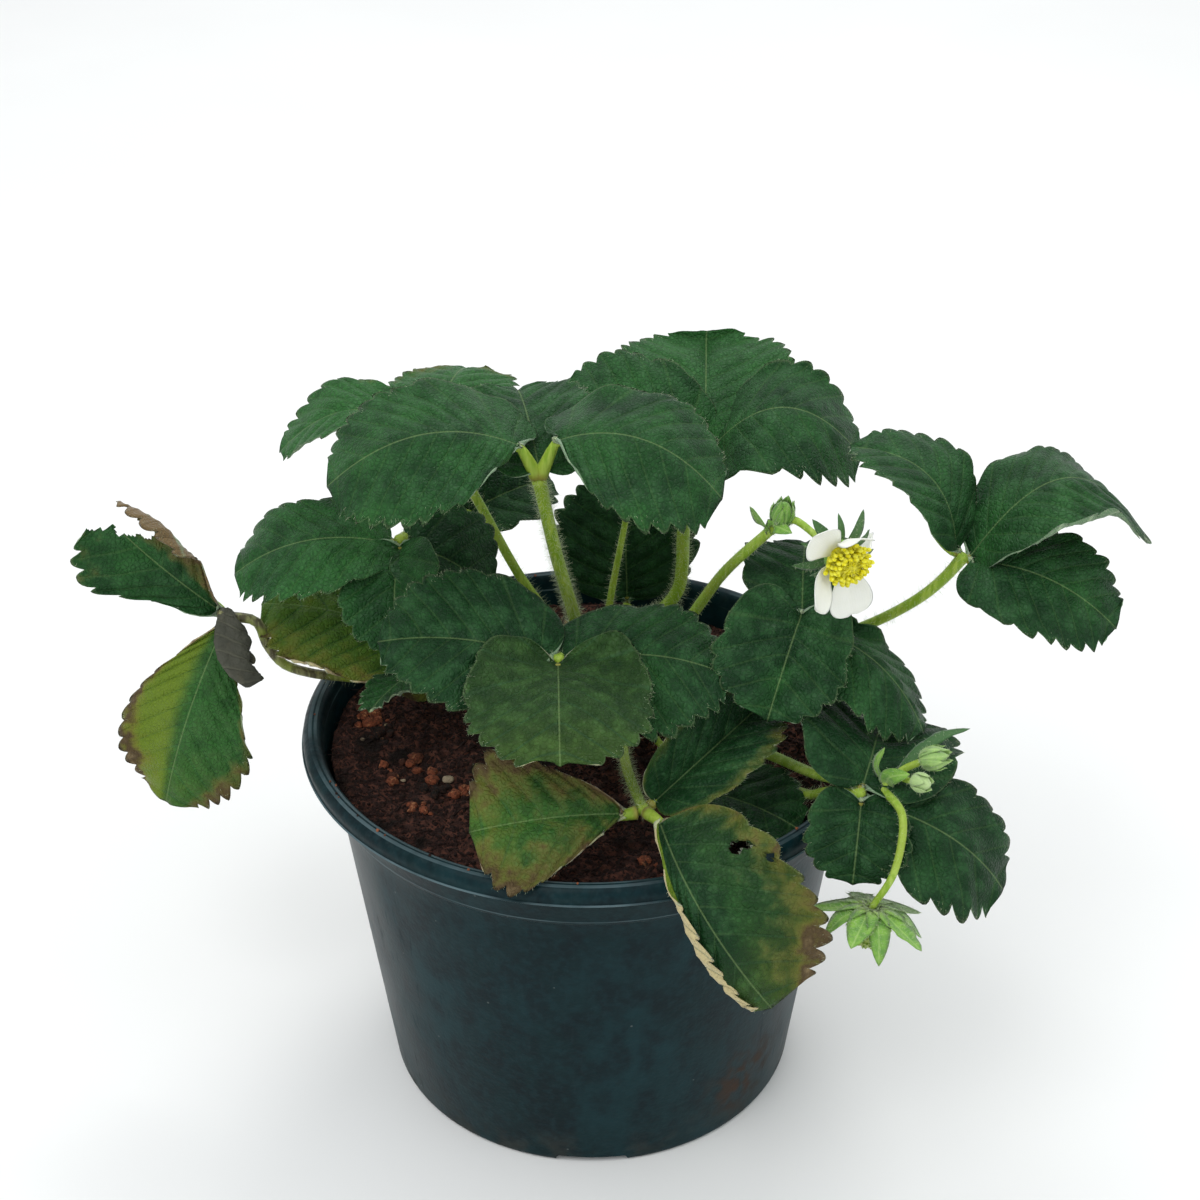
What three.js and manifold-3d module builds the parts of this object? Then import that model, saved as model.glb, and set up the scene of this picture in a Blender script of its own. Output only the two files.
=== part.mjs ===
// A strawberry plant in a round plastic nursery pot.
// Millimetres, +Z up. The origin is the middle of the pot's underside, which stands on z = 0.
// The plant faces -Y: its open flower, its young fruit and its two lowest leaves are on that side.
import * as THREE from 'three';
import { mergeVertices } from 'three/addons/utils/BufferGeometryUtils.js';
import Module from 'manifold-3d';

const wasm = await Module();
wasm.setup();

// ---------------------------------------------------------------- driving dimensions

const GAP = 0.35; // left between pieces that touch

const POT = {
  height: 113.6,
  lipRadius: 80, // outermost edge of the rolled lip
  lipDepth: 5, // from the lip's crest to its lower edge
  crestRadius: 76.6, // top of the lip
  collarRadius: 75.6, // just under the lip
  ledgeHeight: 98, // where the collar steps in to the wall
  ledgeRadius: 73.2,
  ledgeStep: 1.8,
  baseRadius: 59,
  wall: 1.7,
  floor: 4.4,
  footChamfer: 1.6,
  sides: 56,
};

const DRAIN = {
  channels: 4,
  width: 20,
  depth: 2.2,
  innerEnd: 24, // the channels stop here, so the middle of the base is flat
  holeRadius: 4,
  holeFromCentre: 46,
  holeSides: 16,
};

const MIX = {
  surface: 103, // height of the potting mix at the crown
  swell: 1.1, // height of its low mounds
  clearance: 0.5, // to the pot's wall
  rings: 6,
};

const CROWN = { x: 3, y: 26, radius: 11, height: 10, rings: 5, sides: 20 };

const SHEET = { thick: 0.8, columns: 4, rows: 7 }; // how a leaflet is divided
const LEAFLET_NECK = 0.8; // half the width of a leaflet's own stem
const PETAL = { thick: 0.5, length: 14, width: 13, columns: 4, rows: 4 };
const SEPAL = { thick: 0.5, columns: 2, rows: 3 };
const STALK_SIDES = 8;
const STALK_STEP = 8; // mm between the rings of a stalk

// ---------------------------------------------------------------- materials

const material = (color, roughness) =>
  new THREE.MeshStandardMaterial({ color, roughness, metalness: 0 });

const MATERIALS = {
  pot: material('#22333a', 0.45),
  mix: material('#3a221c', 1),
  leaf: material('#24502f', 0.6),
  oldLeaf: material('#5f7030', 0.7),
  dryLeaf: material('#77705f', 0.9),
  stalk: material('#93ad45', 0.55),
  darkStalk: material('#4d4a30', 0.7),
  petal: material('#f3f1e6', 0.5),
  centre: material('#e8d52a', 0.8),
  green: material('#8fbb62', 0.6),
};

// ---------------------------------------------------------------- helpers

const v = (p) => new THREE.Vector3(...p);
const radians = THREE.MathUtils.degToRad;

// A geometry as a manifold solid, for joining and cutting.
function toSolid(geometry) {
  const bare = geometry.clone();
  bare.deleteAttribute('normal');
  bare.deleteAttribute('uv');
  const merged = mergeVertices(bare, 1e-3);
  return new wasm.Manifold(new wasm.Mesh({
    numProp: 3,
    vertProperties: new Float32Array(merged.attributes.position.array),
    triVerts: new Uint32Array(merged.index.array),
  }));
}

// A manifold solid as a geometry again.
function toGeometry(solid) {
  const mesh = solid.getMesh();
  const geometry = new THREE.BufferGeometry();
  geometry.setAttribute('position', new THREE.BufferAttribute(mesh.vertProperties, 3));
  geometry.setIndex(new THREE.BufferAttribute(mesh.triVerts, 1));
  return geometry.toNonIndexed();
}

// Half the width of a sheet at t, from 0 at its base to 1 at its tip, as a share of its full half width.
function outlineShare(t, widest) {
  if (t <= widest) return Math.sin((Math.PI / 2) * (t / widest)) ** 0.9;
  return Math.cos((Math.PI / 2) * 0.88 * ((t - widest) / (1 - widest))) ** 0.7;
}

// A thin closed sheet, such as a leaflet, a petal or a sepal.
// It runs from base to tip, face is the way its upper side looks, arch lifts its middle towards face,
// and fold, in degrees, lifts both halves out of its plane: a valley where positive, a roof where negative.
// A leaflet has a short narrow stem of its own, its first row, which ends at from. shares widen or narrow
// its left and right halves.
function sheetGeometry(shape) {
  const { base, tip, face, width, arch = 0, fold = 0, widest = 0.58, stem = 0 } = shape;
  const [leftShare, rightShare] = shape.shares ?? [1, 1];
  const { thick, columns, rows } = { ...SHEET, ...shape.grid };
  const neck = shape.neck ?? LEAFLET_NECK;
  const root = v(base);
  const start = shape.from ? v(shape.from) : root.clone().lerp(v(tip), stem / root.distanceTo(v(tip)));
  const stemRows = start.equals(root) ? 0 : 1;
  const length = start.distanceTo(v(tip));
  const along = v(tip).sub(start).normalize();
  const up = v(face).addScaledVector(along, -v(face).dot(along)).normalize();
  const across = new THREE.Vector3().crossVectors(along, up);
  const geometry = new THREE.BoxGeometry(1, 1, 1, columns, rows, 1);
  const position = geometry.attributes.position;
  for (let i = 0; i < position.count; i += 1) {
    const s = position.getX(i) * 2;
    const row = Math.round((position.getY(i) + 0.5) * rows);
    const inStem = row < stemRows;
    const t = inStem ? 0 : (row - stemRows) / (rows - stemRows);
    const share = s < 0 ? leftShare : rightShare;
    const half = Math.max(neck, share * (width / 2) * outlineShare(t, widest));
    const rise = arch * 4 * t * (1 - t)
      + Math.abs(s) * half * Math.sin(radians(fold))
      + position.getZ(i) * thick;
    const point = (inStem ? root : start).clone()
      .addScaledVector(along, length * t)
      .addScaledVector(across, s * half * Math.cos(radians(fold)))
      .addScaledVector(up, rise);
    position.setXYZ(i, point.x, point.y, point.z);
  }
  return geometry;
}

// A round stalk along a smooth curve through the points.
function stalkGeometry(points, radius) {
  const curve = new THREE.CatmullRomCurve3(points.map(v));
  const section = new THREE.Shape().absarc(0, 0, radius, 0, Math.PI * 2);
  return new THREE.ExtrudeGeometry(section, {
    extrudePath: curve,
    steps: Math.max(3, Math.round(curve.getLength() / STALK_STEP)),
    curveSegments: STALK_SIDES / 2,
  });
}

// A small solid of revolution placed at a point, with its axis turned from +Z to the given direction.
function budGeometry(profile, sides, place, axis) {
  const geometry = new THREE.LatheGeometry(profile.map(([r, z]) => new THREE.Vector2(r, z)), sides);
  geometry.rotateX(Math.PI / 2);
  const turn = new THREE.Quaternion().setFromUnitVectors(new THREE.Vector3(0, 0, 1), v(axis).normalize());
  return geometry.applyQuaternion(turn).translate(...place);
}

const plant = new THREE.Group();

function add(name, geometry, look) {
  const mesh = new THREE.Mesh(geometry, look);
  mesh.name = name;
  plant.add(mesh);
  return mesh;
}

// ---------------------------------------------------------------- pot and potting mix

// Outer radius of the wall below the ledge.
const wallRadius = (z) => THREE.MathUtils.lerp(
  POT.baseRadius,
  POT.ledgeRadius - POT.ledgeStep,
  z / POT.ledgeHeight,
);

function potGeometry() {
  const { height: h, wall, ledgeHeight: ledge } = POT;
  const outside = [
    [POT.baseRadius - POT.footChamfer, 0],
    [wallRadius(POT.footChamfer), POT.footChamfer],
    [wallRadius(ledge - 1), ledge - 1],
    [POT.ledgeRadius, ledge],
    [POT.collarRadius, h - POT.lipDepth - 1],
    [POT.lipRadius - 0.8, h - POT.lipDepth],
    [POT.lipRadius, h - 0.6 * POT.lipDepth],
    [POT.lipRadius - 1, h - 0.24 * POT.lipDepth],
    [POT.crestRadius, h],
  ];
  const inside = [
    [POT.collarRadius - wall + 1, h - 0.28 * POT.lipDepth],
    [POT.collarRadius - wall, h - POT.lipDepth],
    [POT.ledgeRadius - wall, ledge],
    [wallRadius(ledge - 1) - wall, ledge - 2],
    [wallRadius(POT.floor) - wall, POT.floor],
  ];
  const profile = [[0, 0], ...outside, ...inside, [0, POT.floor]];
  const lathe = new THREE.LatheGeometry(profile.map(([r, z]) => new THREE.Vector2(r, z)), POT.sides);
  lathe.rotateX(Math.PI / 2);
  let solid = toSolid(lathe);
  const reach = POT.baseRadius + 2;
  const length = reach - DRAIN.innerEnd;
  for (let i = 0; i < DRAIN.channels; i += 1) {
    const angle = -Math.PI / 2 + (i * 2 * Math.PI) / DRAIN.channels;
    const channel = new THREE.BoxGeometry(length, DRAIN.width, 2 * DRAIN.depth);
    channel.translate(DRAIN.innerEnd + length / 2, 0, 0).rotateZ(angle);
    const { holeRadius, holeSides } = DRAIN;
    const hole = new THREE.CylinderGeometry(holeRadius, holeRadius, 4 * POT.floor, holeSides);
    hole.rotateX(Math.PI / 2).translate(DRAIN.holeFromCentre, 0, 0).rotateZ(angle);
    solid = solid.subtract(toSolid(channel)).subtract(toSolid(hole));
  }
  return toGeometry(solid);
}

// The mix's surface: low mounds that fade out around the crown and stay under the rim.
function mixHeight(x, y) {
  const fromCrown = Math.hypot(x - CROWN.x, y - CROWN.y);
  const fade = THREE.MathUtils.smoothstep(fromCrown, CROWN.radius + 4, CROWN.radius + 16);
  const mounds = Math.sin(x / 13 + 1) * Math.cos(y / 11) + 0.6 * Math.sin((x + y) / 8);
  return MIX.surface + fade * MIX.swell * mounds;
}

function mixGeometry() {
  const inset = POT.wall + MIX.clearance;
  const bottom = POT.floor + GAP;
  const neck = POT.ledgeHeight - 2;
  const profile = [
    [0, bottom],
    [wallRadius(bottom) - inset, bottom],
    [wallRadius(neck) - inset, neck],
    [POT.ledgeRadius - inset, POT.ledgeHeight],
  ];
  for (let i = 0; i <= MIX.rings; i += 1) {
    profile.push([(POT.ledgeRadius - inset) * (1 - i / MIX.rings), MIX.surface]);
  }
  const lathe = new THREE.LatheGeometry(profile.map(([r, z]) => new THREE.Vector2(r, z)), POT.sides);
  lathe.rotateX(Math.PI / 2);
  const position = lathe.attributes.position;
  for (let i = 0; i < position.count; i += 1) {
    if (position.getZ(i) > POT.ledgeHeight + 1) {
      position.setZ(i, mixHeight(position.getX(i), position.getY(i)));
    }
  }
  return lathe;
}

// The short woody crown from which every stalk grows: a low dome that stands on the mix.
function crownGeometry() {
  const base = MIX.surface + GAP;
  const profile = [[0, base]];
  for (let i = 0; i < CROWN.rings; i += 1) {
    const lean = (i / CROWN.rings) * (Math.PI / 2);
    profile.push([CROWN.radius * Math.cos(lean), base + CROWN.height * Math.sin(lean)]);
  }
  profile.push([0, base + CROWN.height]);
  const lathe = new THREE.LatheGeometry(profile.map(([r, z]) => new THREE.Vector2(r, z)), CROWN.sides);
  return lathe.rotateX(Math.PI / 2).translate(CROWN.x, CROWN.y, 0);
}

// A stalk's foot on the crown, and the point a little way out from it.
// around is in degrees from +X, and lift in degrees up the dome.
function stalkFoot(around, lift) {
  const a = radians(around);
  const e = radians(lift);
  const out = new THREE.Vector3(Math.cos(a) * Math.cos(e), Math.sin(a) * Math.cos(e), Math.sin(e));
  const surface = new THREE.Vector3(
    CROWN.x + CROWN.radius * out.x,
    CROWN.y + CROWN.radius * out.y,
    MIX.surface + GAP + CROWN.height * out.z,
  );
  const start = surface.clone().addScaledVector(out, GAP);
  const next = surface.clone().addScaledVector(out, 7);
  return [start.toArray(), next.toArray()];
}

// ---------------------------------------------------------------- leaves

// Each leaf has a stalk from its foot on the crown, through its bends, to its head, and the leaflets
// that spread from the head. tip is where a leaflet ends.
const LEAVES = [
  {
    name: 'far_left', look: 'oldLeaf', stalkLook: 'darkStalk', foot: [172, 8], radius: 1.5,
    bends: [[-40, 22, 109], [-72, 13, 117], [-84, 10, 122], [-89, 9, 128], [-91, 9, 137]],
    head: [-100, 8, 140],
    leaflets: [
      { side: 'upper', tip: [-131, 8, 172], width: 34, face: [-3, -8, 4], fold: 8, arch: 2 },
      {
        side: 'curled', look: 'dryLeaf', from: [-99, 1, 151], tip: [-92, -3, 125], width: 17,
        face: [6, 7, 0], fold: 50, arch: -6,
      },
      { side: 'lower', tip: [-121, -4, 86], width: 40, face: [-3, -9, 2], fold: -12, arch: 4 },
    ],
  },
  {
    name: 'left', foot: [186, 52], radius: 1.5,
    bends: [[-26, 31, 134], [-45, 24, 158]],
    head: [-51, 8, 164],
    leaflets: [
      { side: 'left', tip: [-96, 6, 158], width: 34, face: [-1, -3, 9], fold: -8, arch: 6 },
      { side: 'front', tip: [-51, -16, 144], width: 28, face: [-2, -6, 6], fold: 14, arch: 4 },
      { side: 'right', tip: [-27, 8, 148], width: 34, face: [4, -5, 8], fold: 6, arch: 4 },
    ],
  },
  {
    name: 'low_left', look: 'oldLeaf', foot: [206, 12], radius: 1.4,
    bends: [[-18, 17, 111]],
    head: [-40, 13, 123],
    leaflets: [
      { side: 'left', tip: [-90, 17, 140], width: 42, face: [-1, -3, 9], fold: -10, arch: 6 },
      { side: 'front', tip: [-59, -20, 130], width: 15, face: [-1, 6, 9], fold: 0, arch: 2 },
    ],
  },
  {
    name: 'front', foot: [262, 50], radius: 1.5,
    bends: [[-1, 0, 131], [-6, -20, 146]],
    head: [-8, -30, 150],
    leaflets: [
      { side: 'left', tip: [-53, -31, 158], width: 40, face: [-1, -3, 9], fold: 8, arch: 4 },
      { side: 'right', tip: [36, -32, 148], width: 38, face: [1, -3, 9], fold: -8, arch: 5 },
      { side: 'near', tip: [-7, -70, 149], width: 44, face: [0, -1, 9], fold: -8, arch: 4 },
    ],
  },
  {
    name: 'middle', foot: [176, 68], radius: 1.9,
    bends: [[-4, 16, 133], [-9, 6, 161]],
    head: [-13, 0, 187],
    leaflets: [
      {
        side: 'left', from: [-17.8, -1.6, 198], tip: [-66, -12, 194], width: 46,
        face: [-1, -4, 9], fold: -16, arch: 11,
      },
      {
        side: 'right', from: [-8, -1, 199], tip: [34, -12, 190], width: 44,
        face: [1, -4, 9], fold: -16, arch: 11,
      },
      {
        side: 'back', from: [-12, 4.6, 199], tip: [-19.5, 42, 194], width: 34,
        face: [0, -1, 9], fold: 9, arch: 3,
      },
    ],
  },
  {
    name: 'back_left', foot: [135, 42], radius: 1.5,
    bends: [[-19, 33, 136], [-33, 36, 164]],
    head: [-43, 38, 182],
    leaflets: [
      { side: 'left', tip: [-85, 34, 180], width: 31, face: [0, 0, 9], fold: 4, arch: 9 },
      { side: 'back', tip: [-36, 80, 183], width: 36, face: [0, 1, 9], fold: -8, arch: 4 },
    ],
  },
  {
    name: 'back_right', foot: [62, 56], radius: 2,
    bends: [[24, 33, 130], [27, 34, 158]],
    head: [32, 34, 180],
    leaflets: [
      { side: 'back', tip: [34, 79, 191], width: 48, face: [0, -3, 9], fold: 8, arch: 4 },
      { side: 'left', tip: [-7, 44, 192], width: 34, face: [-1, -3, 9], fold: 6, arch: 4 },
      { side: 'right', tip: [74, 28, 181], width: 42, face: [1, -3, 9], fold: -12, arch: 15 },
    ],
  },
  {
    name: 'far_right', foot: [352, 36], radius: 1.6,
    bends: [[40, 17, 118], [76, 4, 139], [92, -3, 155]],
    head: [99, -5, 166],
    leaflets: [
      { side: 'left', tip: [71, 12, 191], width: 34, face: [4, -2, 8], fold: 4, arch: 10 },
      { side: 'back', tip: [148, 12, 166], width: 40, face: [-1, -1, 9], fold: -8, arch: 20 },
      { side: 'front', tip: [137, -22, 156], width: 36, face: [1, -4, 9], fold: -6, arch: 6 },
    ],
  },
  {
    name: 'right', foot: [322, 48], radius: 1.5,
    bends: [[33, 2, 128], [50, -11, 147]],
    head: [56, -15, 153],
    leaflets: [
      {
        side: 'near', from: [55, -17, 158], tip: [46, -40, 139], width: 38,
        face: [-1, -7, 6], fold: 14, arch: 2, widest: 0.45, shares: [0.85, 0.97],
      },
      { side: 'right', tip: [88, -34, 132], width: 30, face: [3, -2, 7], fold: -24, arch: 6 },
      { side: 'back', tip: [59, 16, 160], width: 28, face: [-1, -3, 9], fold: 6, arch: 3 },
    ],
  },
  {
    name: 'low_right', foot: [316, 14], radius: 1.5,
    bends: [[30, -2, 106.4], [47, -19.5, 106.2], [58, -34.5, 110], [63.6, -43.6, 118]],
    head: [69.8, -52, 123],
    leaflets: [
      { side: 'near', tip: [66.5, -70, 109], width: 26, face: [-1, -8, 7], fold: 4, arch: 3 },
      {
        side: 'right', from: [77, -54, 116.5], tip: [107, -62, 101], width: 34,
        face: [3, -6, 8], fold: -14, arch: 8,
      },
      {
        side: 'back', from: [71, -47, 127], tip: [79, -18, 128], width: 32,
        face: [1, -5, 8], fold: 8, arch: 3,
      },
    ],
  },
  {
    name: 'low_front', look: 'oldLeaf', foot: [282, 22], radius: 1.5,
    bends: [[8, -8, 115], [10, -36, 119]],
    head: [14, -55, 120],
    leaflets: [
      { side: 'left', tip: [-29, -66, 123], width: 38, face: [-2, -6, 8], fold: 6, arch: 3 },
      {
        side: 'hanging', from: [20, -66, 122], tip: [44, -94, 89], width: 48,
        face: [-2, -8, 5], fold: -16, arch: 12, shares: [1.05, 0.5],
      },
      { side: 'folded', tip: [47, -22, 132], width: 30, face: [3, -6, 8], fold: 42, arch: 2 },
    ],
  },
  {
    name: 'shaded_back', foot: [84, 18], radius: 1.2,
    bends: [[8, 44, 112]],
    head: [11, 51, 117],
    leaflets: [
      { side: 'upright', tip: [10, 63, 154], width: 42, face: [0, -9, 2], fold: 8, arch: 2 },
    ],
  },
];

// Leaves with one blade: the stalk and the blade are one piece.
const SINGLE_LEAVES = [
  {
    name: 'low_inner_leaf', foot: [298, 8], radius: 1.2, bends: [[20, -8, 107]], head: [26, -28, 108],
    blade: { tip: [54.5, -45.5, 109], width: 29, face: [0, -1, 9], fold: 0, arch: 2 },
  },
  {
    name: 'shaded_left_leaf', foot: [122, 12], radius: 1.2, bends: [[-20, 46, 114], [-34, 57, 124]],
    head: [-38, 62, 141],
    blade: { tip: [-12, 76, 147], width: 26, face: [1, -5, 8], fold: 14, arch: 3 },
  },
  {
    name: 'young_leaf', foot: [60, 82], radius: 1.1, bends: [[6, 28, 134], [10, 28, 158]],
    head: [11, 27, 166],
    blade: { tip: [5, 19, 180], width: 14, face: [4, -6, 3], fold: 50, arch: 1 },
  },
];

const LEAFLET_STEM = 3; // length of a leaflet's own stem where from isn't given
const STEM_SPREAD = 1.1; // least distance from a head to a leaflet, so that stems side by side stay apart
const BLADE_OVERLAP = 0.02; // share of a single blade's length that lies inside its stalk

// A leaflet starts at the stalk's head, the gap away from its flat end or from its round side,
// whichever lies that way. before is the stalk's last bend.
function leafletBase(before, head, tip, radius) {
  const out = v(tip).sub(v(head)).normalize();
  const ahead = out.dot(v(head).sub(v(before)).normalize());
  const aside = Math.sqrt(1 - ahead * ahead);
  const pastEnd = ahead > 0 ? (GAP + (SHEET.thick / 2) * aside) / ahead : Infinity;
  const pastSide = (radius + GAP + (SHEET.thick / 2) * Math.abs(ahead)) / aside;
  return v(head).addScaledVector(out, Math.max(STEM_SPREAD, Math.min(pastEnd, pastSide))).toArray();
}

for (const leaf of LEAVES) {
  const look = MATERIALS[leaf.look ?? 'leaf'];
  const stalk = [...stalkFoot(...leaf.foot), ...leaf.bends, leaf.head];
  add(`leaf_stalk_${leaf.name}`, stalkGeometry(stalk, leaf.radius), MATERIALS[leaf.stalkLook ?? 'stalk']);
  for (const leaflet of leaf.leaflets) {
    const base = leafletBase(leaf.bends.at(-1), leaf.head, leaflet.from ?? leaflet.tip, leaf.radius);
    const leafletLook = leaflet.look ? MATERIALS[leaflet.look] : look;
    const blade = sheetGeometry({ stem: LEAFLET_STEM, ...leaflet, base });
    add(`leaflet_${leaf.name}_${leaflet.side}`, blade, leafletLook);
  }
}

for (const leaf of SINGLE_LEAVES) {
  const stalk = [...stalkFoot(...leaf.foot), ...leaf.bends, leaf.head];
  const back = v(leaf.head).lerp(v(leaf.blade.tip), -BLADE_OVERLAP).toArray();
  const blade = sheetGeometry({ ...leaf.blade, base: back, neck: leaf.radius });
  const joined = toSolid(stalkGeometry(stalk, leaf.radius)).add(toSolid(blade));
  add(leaf.name, toGeometry(joined), MATERIALS.leaf);
}

// ---------------------------------------------------------------- flower truss

const FLOWER = {
  place: [64, -27, 177],
  axis: [3, -8, -1], // the way the open flower looks
  petals: 5,
  firstPetal: -90, // degrees round the flower from its right
  claw: 3.2, // from the flower's axis to the foot of a spread petal
  raisedClaw: 5.2, // and to the foot of a petal that stands up past the centre
  petalLift: 0.8, // of the petals' feet above the hub
  centreRadius: 5.6,
  hubRadius: 4.8,
  hubDepth: 3,
  sepalReach: 12,
  sepalDroop: 5,
};

// Each petal's tilt out of the flower's plane, in degrees, from the lowest round by the left.
const PETAL_TILTS = [4, 38, 38, 50, -10];
const RAISED_TILT = 20; // a petal tilted more than this stands up

const TRUSS_RADIUS = 1.5; // the main stalk of a truss
const SIDE_STALK_RADIUS = 0.9; // the thin stalks that hold a flower, a fruit or a bud

const BUD = [[0, -4.5], [2.2, -3.8], [3.4, -1], [3, 2], [1.2, 5], [0, 6]];

// A point given round an axis through place: angle and radius, then depth along the axis.
function aroundAxis({ place, axis }, angle, radius, depth) {
  const out = v(axis).normalize();
  const side = Math.abs(out.z) > 0.9 ? new THREE.Vector3(0, 1, 0) : new THREE.Vector3(0, 0, 1);
  const right = side.cross(out).normalize();
  const up = new THREE.Vector3().crossVectors(out, right);
  return v(place)
    .addScaledVector(right, radius * Math.cos(angle))
    .addScaledVector(up, radius * Math.sin(angle))
    .addScaledVector(out, depth)
    .toArray();
}

function starGeometry(hub, points) {
  let solid = toSolid(hub);
  for (const point of points) solid = solid.add(toSolid(sheetGeometry(point)));
  return toGeometry(solid);
}

// Five pointed sepals, with a hub behind the petals.
function flowerCalyx() {
  const { hubRadius, hubDepth, petals } = FLOWER;
  const cup = [
    [0, -hubDepth],
    [hubRadius * 0.55, -hubDepth * 0.87],
    [hubRadius, -0.5],
    [hubRadius, 0],
    [0, 0],
  ];
  const hub = budGeometry(cup, 12, FLOWER.place, FLOWER.axis);
  const sepals = [];
  for (let i = 0; i < petals; i += 1) {
    const angle = radians(FLOWER.firstPetal) + ((i + 0.5) * 2 * Math.PI) / petals;
    sepals.push({
      base: aroundAxis(FLOWER, angle, 1.5, -1),
      tip: aroundAxis(FLOWER, angle, FLOWER.sepalReach, -FLOWER.sepalDroop),
      face: FLOWER.axis,
      width: 6.5,
      neck: 1.2,
      widest: 0.45,
      grid: SEPAL,
    });
  }
  return starGeometry(hub, sepals);
}

function buildFlower() {
  add('flower_calyx', flowerCalyx(), MATERIALS.green);
  PETAL_TILTS.forEach((tilt, i) => {
    const angle = radians(FLOWER.firstPetal) - (i * 2 * Math.PI) / FLOWER.petals;
    const claw = tilt > RAISED_TILT ? FLOWER.raisedClaw : FLOWER.claw;
    const reach = claw + PETAL.length * Math.cos(radians(tilt));
    const rise = FLOWER.petalLift + PETAL.length * Math.sin(radians(tilt));
    const inward = aroundAxis({ place: [0, 0, 0], axis: FLOWER.axis }, angle, -Math.sin(radians(tilt)), 1);
    add(`petal_${i + 1}`, sheetGeometry({
      base: aroundAxis(FLOWER, angle, claw, FLOWER.petalLift),
      tip: aroundAxis(FLOWER, angle, reach, rise),
      face: inward,
      width: PETAL.width,
      neck: 1,
      widest: 0.62,
      arch: -0.8,
      fold: 6,
      grid: PETAL,
    }), MATERIALS.petal);
  });
  const dome = [[0, 0], [2.4, 0], [3.4, 2.2], [FLOWER.centreRadius, 4], [4, 6], [2, 7.2], [0, 7.6]];
  const geometry = budGeometry(dome.map(([r, z]) => [r, z + GAP]), 12, FLOWER.place, FLOWER.axis);
  add('flower_centre', geometry, MATERIALS.centre);
}

function buildFlowerTruss() {
  const stalk = [...stalkFoot(8, 52), [25, 12, 133], [36, 0, 158], [47, -12, 178]];
  const node = stalk[stalk.length - 1];
  const behindFlower = aroundAxis(FLOWER, 0, 0, -FLOWER.hubDepth - GAP);
  const farBehind = aroundAxis(FLOWER, 0, 0, -FLOWER.hubDepth - 5);
  const pedicel = [node, [54, -15, 182], farBehind, behindFlower];
  const bud = budGeometry(BUD, 10, [50, -13, 184], [1, -1, 6]);
  const joined = toSolid(stalkGeometry(stalk, TRUSS_RADIUS))
    .add(toSolid(stalkGeometry(pedicel, SIDE_STALK_RADIUS)))
    .add(toSolid(bud));
  add('flower_truss_stalk', toGeometry(joined), MATERIALS.stalk);
}

// ---------------------------------------------------------------- fruit truss

const FRUIT = {
  place: [71, -74, 102],
  axis: [-1, -2, -9], // the way the fruit hangs
  shoulder: 1.5, // height of the fruit's rounded top above its widest calyx
  sepals: 10, // five long ones with five short ones between them
};

const FRUIT_SEPALS = [
  { reach: 14, droop: 6, width: 5 },
  { reach: 10, droop: 7, width: 3.5 },
];

// The set fruit is still small: a green cone inside a wide calyx of ten points.
function buildFruit() {
  const cone = [[0, -FRUIT.shoulder], [3, -1], [5.5, 1.5], [5, 5], [2.6, 8.5], [0, 9.5]];
  const points = [];
  for (let i = 0; i < FRUIT.sepals; i += 1) {
    const angle = (i * 2 * Math.PI) / FRUIT.sepals;
    const { reach, droop, width } = FRUIT_SEPALS[i % FRUIT_SEPALS.length];
    points.push({
      base: aroundAxis(FRUIT, angle, 2, 0),
      tip: aroundAxis(FRUIT, angle, reach, droop),
      face: FRUIT.axis.map((n) => -n),
      width,
      neck: 1.2,
      widest: 0.4,
      grid: SEPAL,
    });
  }
  const hub = budGeometry(cone, 12, FRUIT.place, FRUIT.axis);
  add('young_fruit', starGeometry(hub, points), MATERIALS.green);
}

function buildFruitTruss() {
  const bends = [[36.4, -9, 110.5], [48.8, -20, 112.6], [61, -35, 116.5], [75, -50, 123.5]];
  const stalk = [...stalkFoot(334, 26), ...bends];
  const node = stalk[stalk.length - 1];
  const aboveFruit = aroundAxis(FRUIT, 0, 0, -FRUIT.shoulder - GAP);
  const pedicel = [node, [79, -62, 123], [76.5, -72, 114], aboveFruit];
  const bud = budGeometry(BUD, 10, [88, -51, 133.5], [3, -1, 2]);
  const budStalk = [node, [80, -50, 129], [86, -50.5, 132.5]];
  const joined = toSolid(stalkGeometry(stalk, TRUSS_RADIUS))
    .add(toSolid(stalkGeometry(pedicel, SIDE_STALK_RADIUS)))
    .add(toSolid(stalkGeometry(budStalk, SIDE_STALK_RADIUS)))
    .add(toSolid(bud));
  add('fruit_truss_stalk', toGeometry(joined), MATERIALS.stalk);
}

// ---------------------------------------------------------------- assembly

add('pot', potGeometry(), MATERIALS.pot);
add('potting_mix', mixGeometry(), MATERIALS.mix);
add('crown', crownGeometry(), MATERIALS.darkStalk);
buildFlower();
buildFlowerTruss();
buildFruit();
buildFruitTruss();

export default plant;
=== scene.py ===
"""A strawberry plant in a plastic nursery pot: its leaves, flower, buds, fruit, potting mix and pot.

Lengths are in millimetres and are turned to metres where a mesh is made. Where a piece stands is read back
from the construction model, and the pieces that were joined there repeat its few measures here.
"""
import functools
import math

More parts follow.
